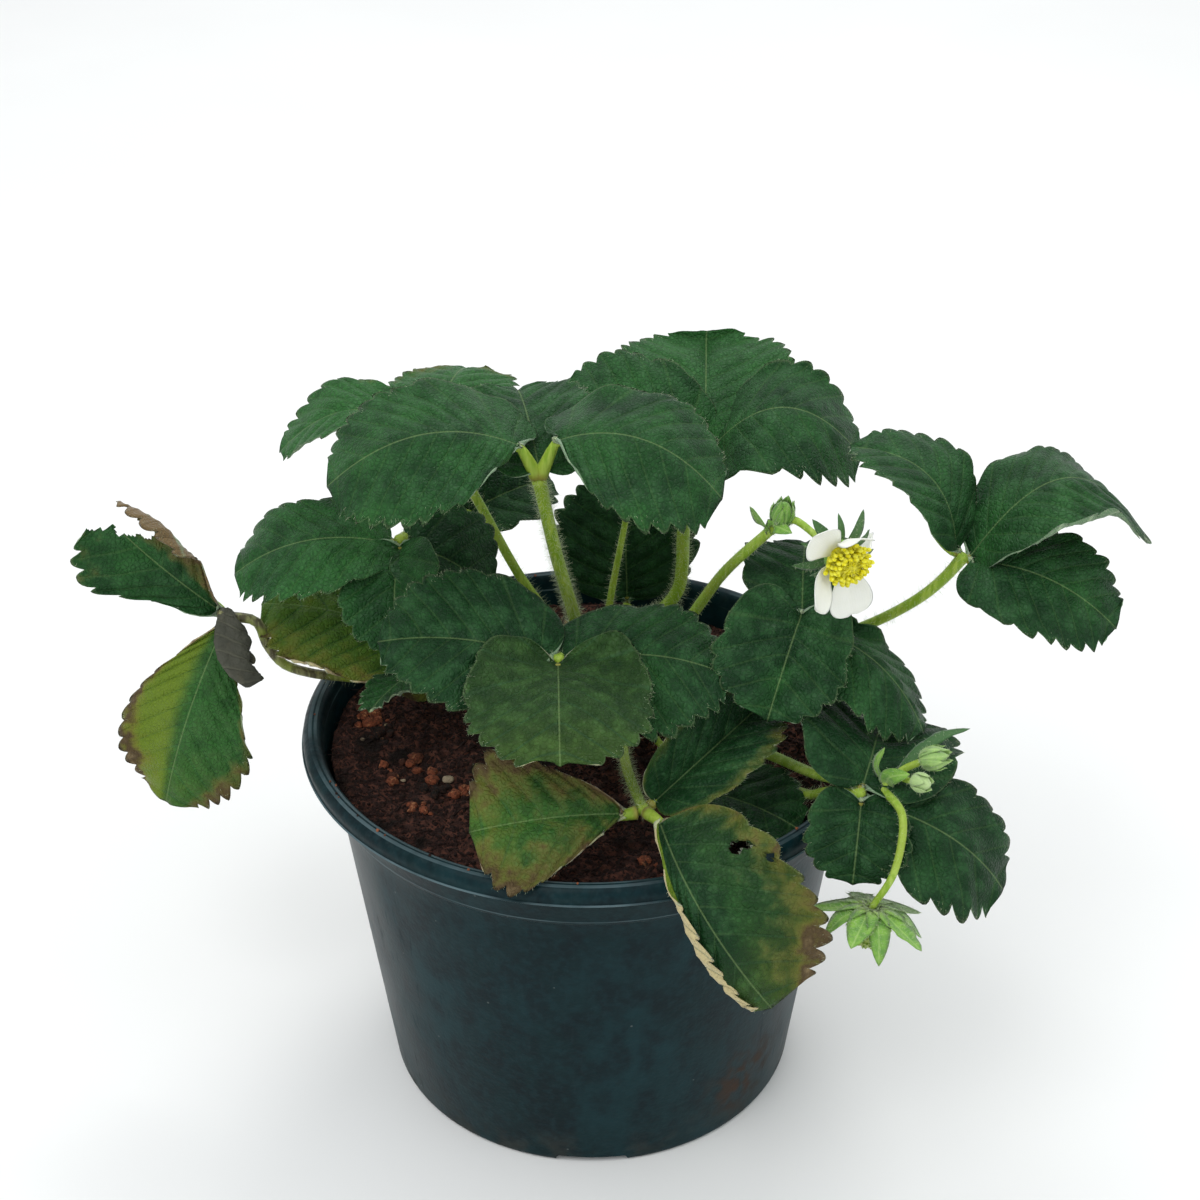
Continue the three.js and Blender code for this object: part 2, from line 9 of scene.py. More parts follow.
import bmesh
import bpy
import numpy as np
from bpy.props import FloatProperty, FloatVectorProperty, IntProperty, PointerProperty
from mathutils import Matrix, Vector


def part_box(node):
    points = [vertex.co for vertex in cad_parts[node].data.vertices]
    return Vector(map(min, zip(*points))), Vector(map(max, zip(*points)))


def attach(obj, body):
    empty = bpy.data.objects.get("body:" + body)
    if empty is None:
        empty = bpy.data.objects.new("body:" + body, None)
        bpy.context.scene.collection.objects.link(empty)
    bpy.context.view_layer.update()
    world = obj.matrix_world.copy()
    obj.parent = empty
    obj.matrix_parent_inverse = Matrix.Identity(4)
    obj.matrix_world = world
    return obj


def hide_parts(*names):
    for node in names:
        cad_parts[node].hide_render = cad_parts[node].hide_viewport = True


bl_info = {
    "name": "Potted Strawberry Plant",
    "version": (1, 0, 0),
    "blender": (4, 5, 0),
    "location": "3D View > Sidebar > Strawberry",
    "description": "Builds a strawberry plant in a plastic nursery pot, piece by piece",
    "category": "Add Mesh",
}

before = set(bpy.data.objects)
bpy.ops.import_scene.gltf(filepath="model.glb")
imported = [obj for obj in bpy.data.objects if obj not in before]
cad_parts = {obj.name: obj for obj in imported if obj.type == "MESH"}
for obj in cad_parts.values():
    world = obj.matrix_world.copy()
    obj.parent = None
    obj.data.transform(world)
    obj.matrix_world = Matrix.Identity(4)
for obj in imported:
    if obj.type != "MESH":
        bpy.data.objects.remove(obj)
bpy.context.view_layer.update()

MM = 0.001  # metres in a millimetre
UP = np.array([0.0, 0.0, 1.0])


# ---------------------------------------------------------------- nodes and materials

def linear(code):
    """An sRGB hex colour, such as '#24502f', as linear red, green and blue with an alpha of 1."""
    parts = [int(code[i:i + 2], 16) / 255 for i in (1, 3, 5)]
    return [c / 12.92 if c <= 0.04045 else ((c + 0.055) / 1.055) ** 2.4 for c in parts] + [1.0]


def add_node(tree, kind, sockets=None, out=0, **choices):
    """Adds a node with its choices, and fills its input sockets with values or with other nodes' outputs.

    Returns one of its outputs, or the node itself where out is None.
    """
    made = tree.nodes.new(kind)
    for key, value in choices.items():
        setattr(made, key, value)
    for key, value in (sockets or {}).items():
        if isinstance(value, bpy.types.NodeSocket):
            tree.links.new(value, made.inputs[key])
        else:
            made.inputs[key].default_value = value
    return made if out is None else made.outputs[out]


def new_material(name, **numbers):
    """A material, as a call that adds nodes to it and one that links its colour, bump and roughness."""
    material = bpy.data.materials.new(name)
    material.use_nodes = True
    tree = material.node_tree
    shader = tree.nodes["Principled BSDF"]
    for socket, value in numbers.items():
        shader.inputs[socket.replace("_", " ")].default_value = value

    def finish(colour, relief=None, depth=0.1, roughness=None):
        tree.links.new(colour, shader.inputs["Base Color"])
        if relief is not None:
            normal = add_node(tree, "ShaderNodeBump",
                              {"Strength": 1.0, "Distance": depth * MM, "Height": relief})
            tree.links.new(normal, shader.inputs["Normal"])
        if roughness is not None:
            tree.links.new(roughness, shader.inputs["Roughness"])
        return material

    return functools.partial(add_node, tree), finish


def place_in_mm(n, stretch=(1.0, 1.0, 1.0)):
    """Where a point is on the object, in millimetres, times a stretch each way."""
    where = n("ShaderNodeTexCoord", out=3)
    return n("ShaderNodeVectorMath", {0: where, 1: [s / MM for s in stretch]}, operation="MULTIPLY")


def patches(n, grain, low=0.35, high=0.65, stretch=(1.0, 1.0, 1.0), detail=3.0):
    """Soft patches about grain millimetres across: 1 on them and 0 between them."""
    cloud = n("ShaderNodeTexNoise", {"Vector": place_in_mm(n, stretch), "Scale": 1 / grain, "Detail": detail})
    return mask(n, cloud, low, high)


def specks(n, spacing, size, stretch=(1.0, 1.0, 1.0)):
    """Small spots, about spacing millimetres apart and size millimetres across: 1 on them, 0 off them."""
    cell = n("ShaderNodeTexVoronoi", {"Vector": place_in_mm(n, stretch), "Scale": 1 / spacing})
    edge = size / spacing / 2
    return mask(n, cell, edge, edge * 0.6)


def painted(n, base, *layers):
    """A colour with layers on it. Each layer is a share from 0 to 1, or a socket with its weight, and a
    colour. A colour is an sRGB hex code or linear numbers."""
    base = linear(base) if isinstance(base, str) else base
    for share, colour in layers:
        share = weighed(n, share) if isinstance(share, tuple) else share
        colour = linear(colour) if isinstance(colour, str) else colour
        base = n("ShaderNodeMix", {0: share, 6: base, 7: colour}, out=2, data_type="RGBA")
    return base


def weighed(n, *terms):
    """The sum of terms, each a number, or a socket with what it is multiplied by: a number or a socket."""
    total = sum(t for t in terms if not isinstance(t, tuple))
    for socket, times in (t for t in terms if isinstance(t, tuple)):
        total = n("ShaderNodeMath", {0: socket, 1: times, 2: total}, operation="MULTIPLY_ADD")
    return total


def mask(n, value, low, high, least=0.0, most=1.0):
    """A value, or a list of terms to weigh and add, taken smoothly from low..high to least..most."""
    value = weighed(n, *value) if isinstance(value, list) else value
    return n("ShaderNodeMapRange", {0: value, 1: low, 2: high, 3: least, 4: most},
             interpolation_type="SMOOTHSTEP")


def read_attribute(n, name):
    """The three parts of a vector that each corner of the mesh carries."""
    vector = n("ShaderNodeAttribute", out=1, attribute_name=name)
    return n("ShaderNodeSeparateXYZ", {0: vector}, out=None).outputs[:3]


def leaf_upper_side():
    # Living leaf: a waxy skin over tissue that swells between sunken veins. Half dull, dark green, with
    # paler veins and margin; older leaves yellow between their veins and turn brown from the margin.
    leaf = settings("leaf")
    n, finish = new_material("Leaf upper side", Specular_IOR_Level=0.15, Sheen_Weight=0.03,
                             Sheen_Roughness=0.45, Sheen_Tint=linear("#cfe0c8"))
    along, away, edge = read_attribute(n, "blade")
    yellow, scorch, tone = read_attribute(n, "life")
    vein = mask(n, n("ShaderNodeMath", {0: along, 1: 0.5}, operation="PINGPONG"), 0.075, 0.01)
    midrib = mask(n, away, 0.36, 0.10)
    bay = n("ShaderNodeTexNoise", {"Vector": place_in_mm(n), "Scale": 1 / 13, "Detail": 2.0})
    grain = n("ShaderNodeTexNoise", {"Vector": place_in_mm(n), "Scale": 1 / 0.9, "Detail": 3.0})
    spot = n("ShaderNodeTexNoise",
             {"Vector": place_in_mm(n), "Scale": 1 / 4.5, "Detail": 2.5, "Roughness": 0.5})
    # Fourth-order veins fence in bays of tissue about 1.3 mm across. Their sunken lines are painted darker:
    # painted shade in the furrows.
    bays = n("ShaderNodeTexVoronoi", {"Vector": place_in_mm(n), "Scale": 1 / 1.3}, feature="DISTANCE_TO_EDGE")
    green = painted(
        n, list(leaf.dark),
        (mask(n, [(bay, 1.0), (tone, 0.55)], 0.25, 1.0), list(leaf.light)),
        (mask(n, spot, 0.44, 0.66, 0.0, 0.34), "#3d6b3d"),
        (mask(n, spot, 0.46, 0.30, 0.0, 0.35), "#0d2911"),
        (mask(n, grain, 0.35, 0.7, 0.0, 0.35), "#0f2a13"),
        # painted shade along the sunken fourth-order veins
        (mask(n, bays, 0.12, 0.0, 0.0, 0.30), "#0d2410"))
    blotch = weighed(n, (yellow, spot))
    aged = mask(n, [-0.16, (yellow, 0.65), (blotch, 0.6), (vein, -0.10)], 0.0, 0.60)
    decay = weighed(n, (scorch, 0.95), (spot, 0.70), (edge, 0.32))
    rust = mask(n, decay, 0.80, 1.20, 0.0, 0.55)
    burnt = mask(n, decay, 1.02, 1.22)
    core = mask(n, decay, 1.20, 1.40)
    colour = painted(
        n, green,
        (aged, "#62781f"),
        ((vein, 0.13), "#5f8048"),
        ((midrib, 0.30), "#86a066"),
        (mask(n, edge, 0.965, 0.995, 0.0, 0.28), "#7f9a68"),
        (rust, "#7a6530"),
        (burnt, "#4f4029"),
        (core, "#7d6c4c"))
    relief = weighed(n, (vein, -0.35), (midrib, -0.5), (mask(n, bays, 0.0, 0.25), 0.6), (grain, 0.4))
    return finish(colour, relief, 0.32, mask(n, [(bay, 0.6), (burnt, 0.5)], 0.1, 0.9, 0.44, 0.66))


def leaf_under_side():
    # The under side: pale grey-green, dull and downy, its veins standing up as a net.
    leaf = settings("leaf")
    n, finish = new_material("Leaf under side", Roughness=0.72, Specular_IOR_Level=0.3, Sheen_Weight=0.25,
                             Sheen_Roughness=0.5)
    along, away, edge = read_attribute(n, "blade")
    yellow, scorch, _ = read_attribute(n, "life")
    vein = mask(n, n("ShaderNodeMath", {0: along, 1: 0.5}, operation="PINGPONG"), 0.10, 0.02)
    midrib = mask(n, away, 1.0, 0.4)
    spot = n("ShaderNodeTexNoise",
             {"Vector": place_in_mm(n), "Scale": 1 / 4.5, "Detail": 4.0, "Roughness": 0.6})
    bays = n("ShaderNodeTexVoronoi", {"Vector": place_in_mm(n), "Scale": 1 / 1.3}, feature="DISTANCE_TO_EDGE")
    aged = mask(n, [-0.26, (yellow, 0.95), (spot, 0.42)], 0.0, 0.55)
    burnt = mask(n, [-1.02, (scorch, 0.95), (spot, 0.85), (edge, 0.22)], 0.0, 0.2)
    colour = painted(
        n, list(leaf.under),
        (patches(n, 9, 0.3, 0.7), "#62805c"),
        (mask(n, bays, 0.08, 0.0, 0.0, 0.4), "#9fb391"),
        (aged, "#b8aa7c"),
        ((vein, 0.5), "#a9bb96"),
        ((midrib, 0.7), "#b3c193"),
        (burnt, "#6e5a38"))
    relief = weighed(n, (vein, 0.8), (midrib, 0.8), (mask(n, bays, 0.2, 0.0), 0.5))
    return finish(colour, relief, 0.25)


def dry_leaf():
    # A withered leaf: grey-brown, brittle and dull, its veins left standing.
    n, finish = new_material("Withered leaf", Roughness=0.8, Specular_IOR_Level=0.25)
    along, _, edge = read_attribute(n, "blade")
    vein = mask(n, n("ShaderNodeMath", {0: along, 1: 0.5}, operation="PINGPONG"), 0.12, 0.02)
    colour = painted(
        n, "#4c4c42",
        (patches(n, 9, 0.35, 0.75), "#34362d"),
        (mask(n, patches(n, 4.5, 0.45, 0.8), 0.0, 1.0, 0.0, 0.5), "#6a6555"),
        ((vein, 0.25), "#6b6a58"),
        (mask(n, edge, 0.93, 1.0, 0.0, 0.5), "#8a8265"))
    return finish(colour, weighed(n, (vein, 0.7), (patches(n, 1.6), 0.5)), 0.35)


def stalk_skin(name, main, streak, foot):
    # A green stalk: juicy, slightly glossy, ribbed with fine paler lines, and redder where it is old.
    n, finish = new_material(name, Roughness=0.45, Specular_IOR_Level=0.28, Sheen_Weight=0.05,
                             Sheen_Roughness=0.4)
    along = read_attribute(n, "blade")[0]
    colour = painted(
        n, main,
        (patches(n, 1.1, 0.4, 0.65, (1, 1, 0.10)), streak),
        (patches(n, 9, 0.45, 0.75), "#93a83c"),
        (mask(n, along, 0.14, 0.0, 0.0, 0.5), foot))
    return finish(colour, patches(n, 0.8, 0.3, 0.7, (1, 1, 0.12)), 0.08)


def sepal_skin():
    # Sepals and bracts: thin fresh green leaf, downy, paler towards the foot.
    n, finish = new_material("Sepal", Roughness=0.55, Specular_IOR_Level=0.4, Sheen_Weight=0.25,
                             Sheen_Roughness=0.5)
    along, away, _ = read_attribute(n, "blade")
    yellow, scorch, tone = read_attribute(n, "life")
    colour = painted(
        n, "#7fae3f",
        (patches(n, 2.2, 0.35, 0.7), "#5f9036"),
        (mask(n, along, 0.30, 0.0, 0.0, 0.6), "#b3cc6c"),
        (mask(n, away, 0.32, 0.10, 0.0, 0.45), "#a9c773"),
        (yellow, "#b4cb8c"),
        (tone, "#2f5a2a"),
        ((scorch, 1.0), "#6e5a2c"))
    return finish(colour, patches(n, 0.7, 0.3, 0.7), 0.08)


def petal_skin():
    # Petals: thin soft white tissue with a silky face, faint veins and a greenish claw.
    flower = settings("flower")
    n, finish = new_material("Petal", Roughness=0.55, Specular_IOR_Level=0.35, Sheen_Weight=0.2,
                             Sheen_Roughness=0.4, Subsurface_Weight=0.15, Subsurface_Scale=1.5 * MM,
                             Subsurface_Radius=(1.0, 1.0, 0.8))
    along, away, _ = read_attribute(n, "blade")
    fan = n("ShaderNodeMath", {0: away, 1: 0.5}, operation="PINGPONG")
    colour = painted(
        n, list(flower.petal),
        (mask(n, along, 0.30, 0.02, 0.0, 0.6), "#dfe09a"),
        (mask(n, fan, 0.12, 0.0, 0.0, 0.15), "#e2e4d2"),
        (mask(n, patches(n, 4, 0.3, 0.7), 0.0, 1.0, 0.0, 0.10), "#dcdfca"))
    return finish(colour, weighed(n, (mask(n, fan, 0.15, 0.0), -0.6), (patches(n, 1.4), 0.4)), 0.06)


def pollen_yellow():
    # Anthers and pistils: waxy yellow, powdered with pollen.
    flower = settings("flower")
    n, finish = new_material("Stamens and pistils", Roughness=0.7, Specular_IOR_Level=0.2,
                             Subsurface_Weight=0.6, Subsurface_Scale=1.2 * MM,
                             Subsurface_Radius=(1.0, 1.0, 0.3))
    tone = read_attribute(n, "life")[2]
    colour = painted(
        n, list(flower.yellow),
        (tone, "#d8d22c"),
        (patches(n, 0.9, 0.4, 0.6), "#f6ee50"))
    return finish(colour, patches(n, 0.35, 0.3, 0.7), 0.08)


def unripe_fruit():
    # The swelling fruit: matt pale green flesh set with small seed-like achenes.
    n, finish = new_material("Unripe fruit", Roughness=0.5, Specular_IOR_Level=0.4)
    tone = read_attribute(n, "life")[2]
    colour = painted(
        n, "#a3b85a",
        (patches(n, 3, 0.35, 0.7), "#7f9a3c"),
        (tone, "#8a6b35"))
    return finish(colour, patches(n, 0.8), 0.1)


def hair_white():
    # Plant hairs: clear single cells that scatter light, so they read as silky white down. They are drawn
    # a little thicker than life, because real ones of 0.03 mm would be lost.
    n, finish = new_material("Plant hairs", Roughness=0.35, Specular_IOR_Level=0.5, Sheen_Weight=0.3)
    return finish(painted(n, "#c9d6a8", (patches(n, 5, 0.3, 0.7), "#d3dcb4")))


def pot_plastic():
    # Recycled polypropylene, moulded in a very dark blue-green: a soft gloss over a faint orange-peel skin,
    # mottled, with fine upright scuffs, smears of dried water, dust on the collar and round the foot, and
    # painted highlight lines along the lip and the ledge.
    pot = settings("pot")
    n, finish = new_material("Recycled polypropylene", Specular_IOR_Level=0.11, IOR=1.49)
    z = n("ShaderNodeSeparateXYZ", {0: place_in_mm(n)}, out=2)
    smear = patches(n, 26, 0.40, 0.72, (1, 1, 0.55), 5.0)
    scuff = patches(n, 1.3, 0.60, 0.74, (1, 1, 0.05), 2.0)
    # Soil splashed up from the bench has dried on the foot at the front right.
    low, high = (np.array(corner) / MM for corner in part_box("pot"))
    spread = n("ShaderNodeVectorMath", {0: place_in_mm(n), 1: [0.62 * high[0], 0.62 * low[1], 17.0]},
               out=1, operation="DISTANCE")
    splash = weighed(n, (mask(n, spread, 22.0, 3.0), patches(n, 4.5, 0.38, 0.66, detail=6.0)))
    foot = weighed(n, (mask(n, z, 16.0, 0.0), patches(n, 7, 0.42, 0.7, detail=5.0)))
    collar = weighed(n, (mask(n, z, 99.0, 112.0), patches(n, 2.2, 0.45, 0.75, detail=5.0)))
    # Painted highlights: pale lines along the lip's crest, its lower bead and the ledge, where the light
    # catches them, broken up into patches.
    highlight_lines = None
    for edge, width, strength in ((POT["height"] - 0.15, 0.12, 0.34), (POT["bead"], 0.25, 0.50),
                                  (POT["ledge_height"] + 0.4, 0.2, 0.26)):
        line = n("ShaderNodeMath", {0: z, 1: edge, 2: width}, operation="COMPARE")
        line = weighed(n, (line, strength))
        highlight_lines = line if highlight_lines is None else n("ShaderNodeMath", {0: highlight_lines, 1: line}, operation="MAXIMUM")
    painted_highlights = weighed(n, (highlight_lines, patches(n, 20, 0.25, 0.70, detail=5.0)))
    mottle = patches(n, 7, 0.38, 0.66, (1, 1, 0.6), 6.0)
    colour = painted(
        n, list(pot.colour),
        ((smear, 0.60), "#14353a"),
        ((mottle, 0.75), "#04151a"),
        ((patches(n, 2.4, 0.42, 0.66, detail=6.0), 0.35), "#123035"),
        ((scuff, 0.06), "#3c4c50"),
        ((collar, 0.10), "#4b5a5a"),
        # painted highlight lines along the lip's crest, its lower bead and the ledge
        (painted_highlights, "#7b9196"),
        ((foot, 0.35), "#4b4a42"),
        ((specks(n, 9.0, 0.8), 0.5), "#5f6765"),
        ((splash, 0.9), "#4a3322"))
    relief = weighed(n, (patches(n, 1.1, 0.2, 0.8), 0.25), (splash, 1.0), (smear, 0.12))
    rough = weighed(n, pot.roughness, (smear, 0.10), (collar, 0.22), (splash, 0.4), (foot, 0.18),
                    (scuff, 0.1))
    return finish(colour, relief, 0.10, rough)


def potting_mix_body():
    # Coir and composted bark with red loam: matt, crumbly, in places still dark with water.
    mix = settings("mix")
    n, finish = new_material("Potting mix", Roughness=0.95, Specular_IOR_Level=0.2)
    colour = painted(
        n, list(mix.colour),
        (patches(n, 2.2, 0.4, 0.62, detail=6.0), "#613c30"),
        (patches(n, 1.1, 0.52, 0.66, detail=4.0), "#261713"),
        (patches(n, 17, 0.52, 0.64), "#1b130f"))
    return finish(colour, weighed(n, (patches(n, 1.6, 0.2, 0.8, detail=6.0), 1.0)), 0.9)


def crumb_mix():
    # Loose crumbs of the same mix. Each has its own shade, from black peat to orange loam.
    n, finish = new_material("Potting mix crumbs", Roughness=0.92, Specular_IOR_Level=0.25)
    shade, warm, pale = read_attribute(n, "life")
    colour = painted(
        n, "#271814",
        (mask(n, shade, 0.25, 0.85), "#6b4335"),
        (mask(n, warm, 0.82, 0.95), "#93583a"),
        (mask(n, pale, 0.945, 0.97), "#b5a890"),
        (patches(n, 17, 0.54, 0.66), "#19110d"))
    return finish(colour, patches(n, 0.5), 0.15)


def loam_clod():
    # Clods of orange loam and near-black peat, lying on the mix; the near-black heap in front of the
    # orange heap by the left rim is painted shade below it.
    n, finish = new_material("Loam clods", Roughness=0.9, Specular_IOR_Level=0.25)
    _, warm, pale = read_attribute(n, "life")
    colour = painted(
        n, "#1c1613",
        (mask(n, warm, 0.3, 0.6), "#8a4c33"),
        (mask(n, patches(n, 0.9, 0.45, 0.6), 0.0, 1.0, 0.0, 0.6), "#3c241b"),
        ((patches(n, 1.6, 0.58, 0.66), warm), "#bd8058"),
        (mask(n, pale, 0.95, 0.99), "#a8967c"))
    return finish(colour, patches(n, 0.8, 0.2, 0.8, detail=5.0), 0.5)


def crown_scales():
    # The woody crown: brown papery scales, the feet of old stalks.
    n, finish = new_material("Scaly stem base", Roughness=0.8, Specular_IOR_Level=0.25)
    colour = painted(
        n, "#5a3a22",
        (patches(n, 1.2, 0.4, 0.65, (1, 1, 0.2)), "#8a6238"),
        (patches(n, 5, 0.45, 0.7), "#3a2416"))
    return finish(colour, patches(n, 0.9, 0.3, 0.7, (1, 1, 0.25)), 0.3)


def floor_card():
    # A plain sheet of matt card.
    stage = settings("stage")
    n, finish = new_material("Matt card", Roughness=0.9, Specular_IOR_Level=0.2)
    return finish(painted(n, list(stage.floor), (patches(n, 300, 0.3, 0.7), "#efeeeb")))


MADE = {}  # the materials made so far, by the names that finish_of knows them by


def finish_of(name):
    """The one material of that name, made when it is first wanted."""
    makers = {
        "upper": leaf_upper_side, "under": leaf_under_side, "dry": dry_leaf, "sepal": sepal_skin,
        "petal": petal_skin, "pollen": pollen_yellow, "fruit": unripe_fruit, "pot": pot_plastic,
        "mix": potting_mix_body, "crumb": crumb_mix, "clod": loam_clod, "crown": crown_scales,
        "floor": floor_card, "down": hair_white,
        "stalk": lambda: stalk_skin("Leaf stalk", list(settings("leaf").stalk), "#a0b748", "#8a5a3a"),
        "dark stalk": lambda: stalk_skin("Old leaf stalk", "#55503a", "#8a8a5c", "#3a2a20"),
        "truss": lambda: stalk_skin("Flower stalk", "#88a932", "#a4bd52", "#8fa040"),
    }
    if name not in MADE:
        MADE[name] = makers[name]()
    return MADE[name]


# ---------------------------------------------------------------- meshes

def unit(vector):
    return vector / max(np.linalg.norm(vector), 1e-9)


def ease(low, high, value):
    """0 below low, 1 above high and a smooth rise between."""
    x = np.clip((value - low) / (high - low), 0, 1)
    return x * x * (3 - 2 * x)


def ripple(x, y, seed, length):
    """Random waves over a plane, from about -1 to 1, with crests about length apart."""
    rng = np.random.default_rng(seed)
    total = 0
    for _ in range(6):
        turn = rng.uniform(0, 2 * math.pi)
        rate = 2 * math.pi / (length * rng.uniform(0.7, 1.5))
        total = total + np.sin(rate * (x * math.cos(turn) + y * math.sin(turn)) + rng.uniform(0, 6.28))
    return total / 3.2


def spline(points, count):
    """count points, evenly apart, along a smooth curve through the given ones."""
    p = np.array(points, float)
    p = np.vstack([2 * p[0] - p[1], p, 2 * p[-1] - p[-2]])
    fine = []
    for a, b, c, d in zip(p[:-3], p[1:-2], p[2:-1], p[3:]):
        for t in np.linspace(0, 1, 12, endpoint=False):
            fine.append(0.5 * (2 * b + (c - a) * t + (2 * a - 5 * b + 4 * c - d) * t ** 2
                               + (3 * b - a - 3 * c + d) * t ** 3))
    fine = np.array(fine + [p[-2]])
    run = np.concatenate([[0], np.cumsum(np.linalg.norm(np.diff(fine, axis=0), axis=1))])
    at = np.linspace(0, run[-1], count)
    return np.stack([np.interp(at, run, fine[:, k]) for k in range(3)], axis=1)


def axes_round(axis):
    """Two directions square to an axis and to each other."""
    out = unit(np.array(axis, float))
    side = np.array([0, 1.0, 0]) if abs(out[2]) > 0.9 else UP
    right = unit(np.cross(side, out))
    return out, right, np.cross(out, right)


def round_axis(place, axis, degrees, radius, depth):
    """A point at that angle, radius and depth round an axis through a place."""
    out, right, up = axes_round(axis)
    turn = math.radians(degrees)
    return (np.array(place, float) + out * depth + right * (radius * math.cos(turn))
            + up * (radius * math.sin(turn)))


def shell_faces(rings, sides):
    """The faces of a closed shape: rings of corners one after another, then one corner for each pole."""
    faces = []
    for i in range(rings - 1):
        for k in range(sides):
            j = (k + 1) % sides
            faces.append([i * sides + k, i * sides + j, (i + 1) * sides + j, (i + 1) * sides + k])
    for k in range(sides):
        j = (k + 1) % sides
        faces.append([rings * sides, j, k])
        faces.append([rings * sides + 1, (rings - 1) * sides + k, (rings - 1) * sides + j])
    return faces


def ball(subdivisions=1):
    """The corners and faces of a ball of radius 1."""
    mesh = bmesh.new()
    bmesh.ops.create_icosphere(mesh, subdivisions=subdivisions, radius=1)
    points = np.array([v.co for v in mesh.verts])
    faces = [[v.index for v in f.verts] for f in mesh.faces]
    mesh.free()
    return points, faces


class Skin:
    """A mesh being put together, in millimetres.

    Each corner carries blade, the place on a leaf as its materials read it; life, how yellow, scorched and
    toned it is; lean, the way its hairs point; and hair, how thick they stand.
    """

    def __init__(self):
        self.points, self.faces, self.slots, self.count = [], [], [], 0
        self.marks = {"blade": [], "life": [], "lean": [], "hair": []}

    def add(self, points, faces, slots=0, **marks):
        n = len(points)
        self.points.append(np.asarray(points, float))
        self.faces += [[self.count + i for i in f] for f in faces]
        self.slots += [slots] * len(faces) if np.ndim(slots) == 0 else list(slots)
        for name, kept in self.marks.items():
            value = np.asarray(marks.get(name, 0.0), float)
            value = value.reshape(-1, 1) if name == "hair" else value
            kept.append(np.broadcast_to(value, (n, 1 if name == "hair" else 3)))
        self.count += n

    def tube(self, path, radii, sides=10, slot=0, life=(0, 0, 0), hair=0.0, groove=0.0, squash=1.0):
        """A closed tube along a path, with a groove along its upper side if one is wanted."""
        path = np.asarray(path, float)
        n = len(path)
        radii = np.broadcast_to(np.asarray(radii, float), (n,))
        along = np.gradient(path, axis=0)
        side = axes_round(along[0])[1]
        angles = 2 * math.pi * np.arange(sides) / sides
        rows, leans = [], []
        for p, t, r in zip(path, along, radii):
            t = unit(t)
            side = unit(side - t * side.dot(t))
            other = np.cross(t, side)
            ways = np.outer(np.cos(angles), side) + squash * np.outer(np.sin(angles), other)
            dent = 1 - groove * np.clip(ways @ UP, 0, 1) ** 5
            rows.append(p + r * dent[:, None] * ways)
            leans.append(ways + 0.15 * t)
        first = path[0] - unit(along[0]) * radii[0] * 0.3
        last = path[-1] + unit(along[-1]) * radii[-1] * 0.5
        run = np.concatenate([np.repeat(np.linspace(0, 1, n), sides), [0, 1]])
        thick = np.concatenate([np.repeat(np.broadcast_to(hair, (n,)), sides), [0, 0]])
        self.add(np.vstack(rows + [[first, last]]), shell_faces(n, sides), slot,
                 blade=np.stack([run, run * 0 + 9, run * 0], 1), life=life,
                 lean=np.vstack(leans + [[-along[0], along[-1]]]), hair=thick)

    def sheet(self, grid, towards, thick, slots=(0, 1), holes=None, **marks):
        """A thin closed sheet: a grid of points on its upper side, which faces the way towards, with the
        under side thick below it and edges shared. holes says which of the grid's panes are missing."""
        rows, columns = grid.shape[:2]
        normal = np.cross(np.gradient(grid, axis=0), np.gradient(grid, axis=1))
        normal /= np.maximum(np.linalg.norm(normal, axis=2, keepdims=True), 1e-9)
        turned = float((normal @ np.asarray(towards, float)).mean()) < 0
        normal = -normal if turned else normal
        thick = np.broadcast_to(np.asarray(thick, float), (rows, columns))
        open_pane = np.zeros((rows - 1, columns - 1), bool) if holes is None else holes
        rim = np.zeros((rows, columns), bool)
        rim[[0, -1]] = rim[:, [0, -1]] = True
        for di in (0, 1):
            for dj in (0, 1):
                rim[di:rows - 1 + di, dj:columns - 1 + dj] |= open_pane
        under = grid - normal * np.where(rim, 0, thick)[..., None]
        upper_index = np.arange(rows * columns).reshape(rows, columns)
        inner = ~rim
        lower_index = upper_index.copy()
        lower_index[inner] = rows * columns + np.arange(inner.sum())
        faces, slot = [], []
        for i in range(rows - 1):
            for j in range(columns - 1):
                if open_pane[i, j]:
                    continue
                ring = ((i, j), (i + 1, j), (i + 1, j + 1), (i, j + 1))
                ring = ring[::-1] if turned else ring
                over = [int(upper_index[c]) for c in ring]
                below = [int(lower_index[c]) for c in ring[::-1]]
                faces.append(over)
                slot.append(slots[0])
                if sorted(over) != sorted(below):
                    faces.append(below)
                    slot.append(slots[1])
        points = np.vstack([grid.reshape(-1, 3), under[inner]])
        full = {}
        for name, value in marks.items():
            value = np.asarray(value, float)
            if name == "hair":
                value = np.broadcast_to(value, (rows, columns))[..., None]
            else:
                value = np.broadcast_to(value, (rows, columns, 3))
            full[name] = np.vstack([value.reshape(rows * columns, -1), value[inner]])
        used = sorted({i for f in faces for i in f})
        fresh = {old: new for new, old in enumerate(used)}
        self.add(points[used], [[fresh[i] for i in f] for f in faces], slot,
                 **{name: value[used] for name, value in full.items()})

    def stem(self, points, count, first, last, sides=10, slot=0, hair=1.0, groove=0.0):
        """A tube along a smooth curve through points, its radius going evenly from first to last."""
        self.tube(spline(points, count), np.linspace(first, last, count), sides, slot, hair=hair,
                  groove=groove)

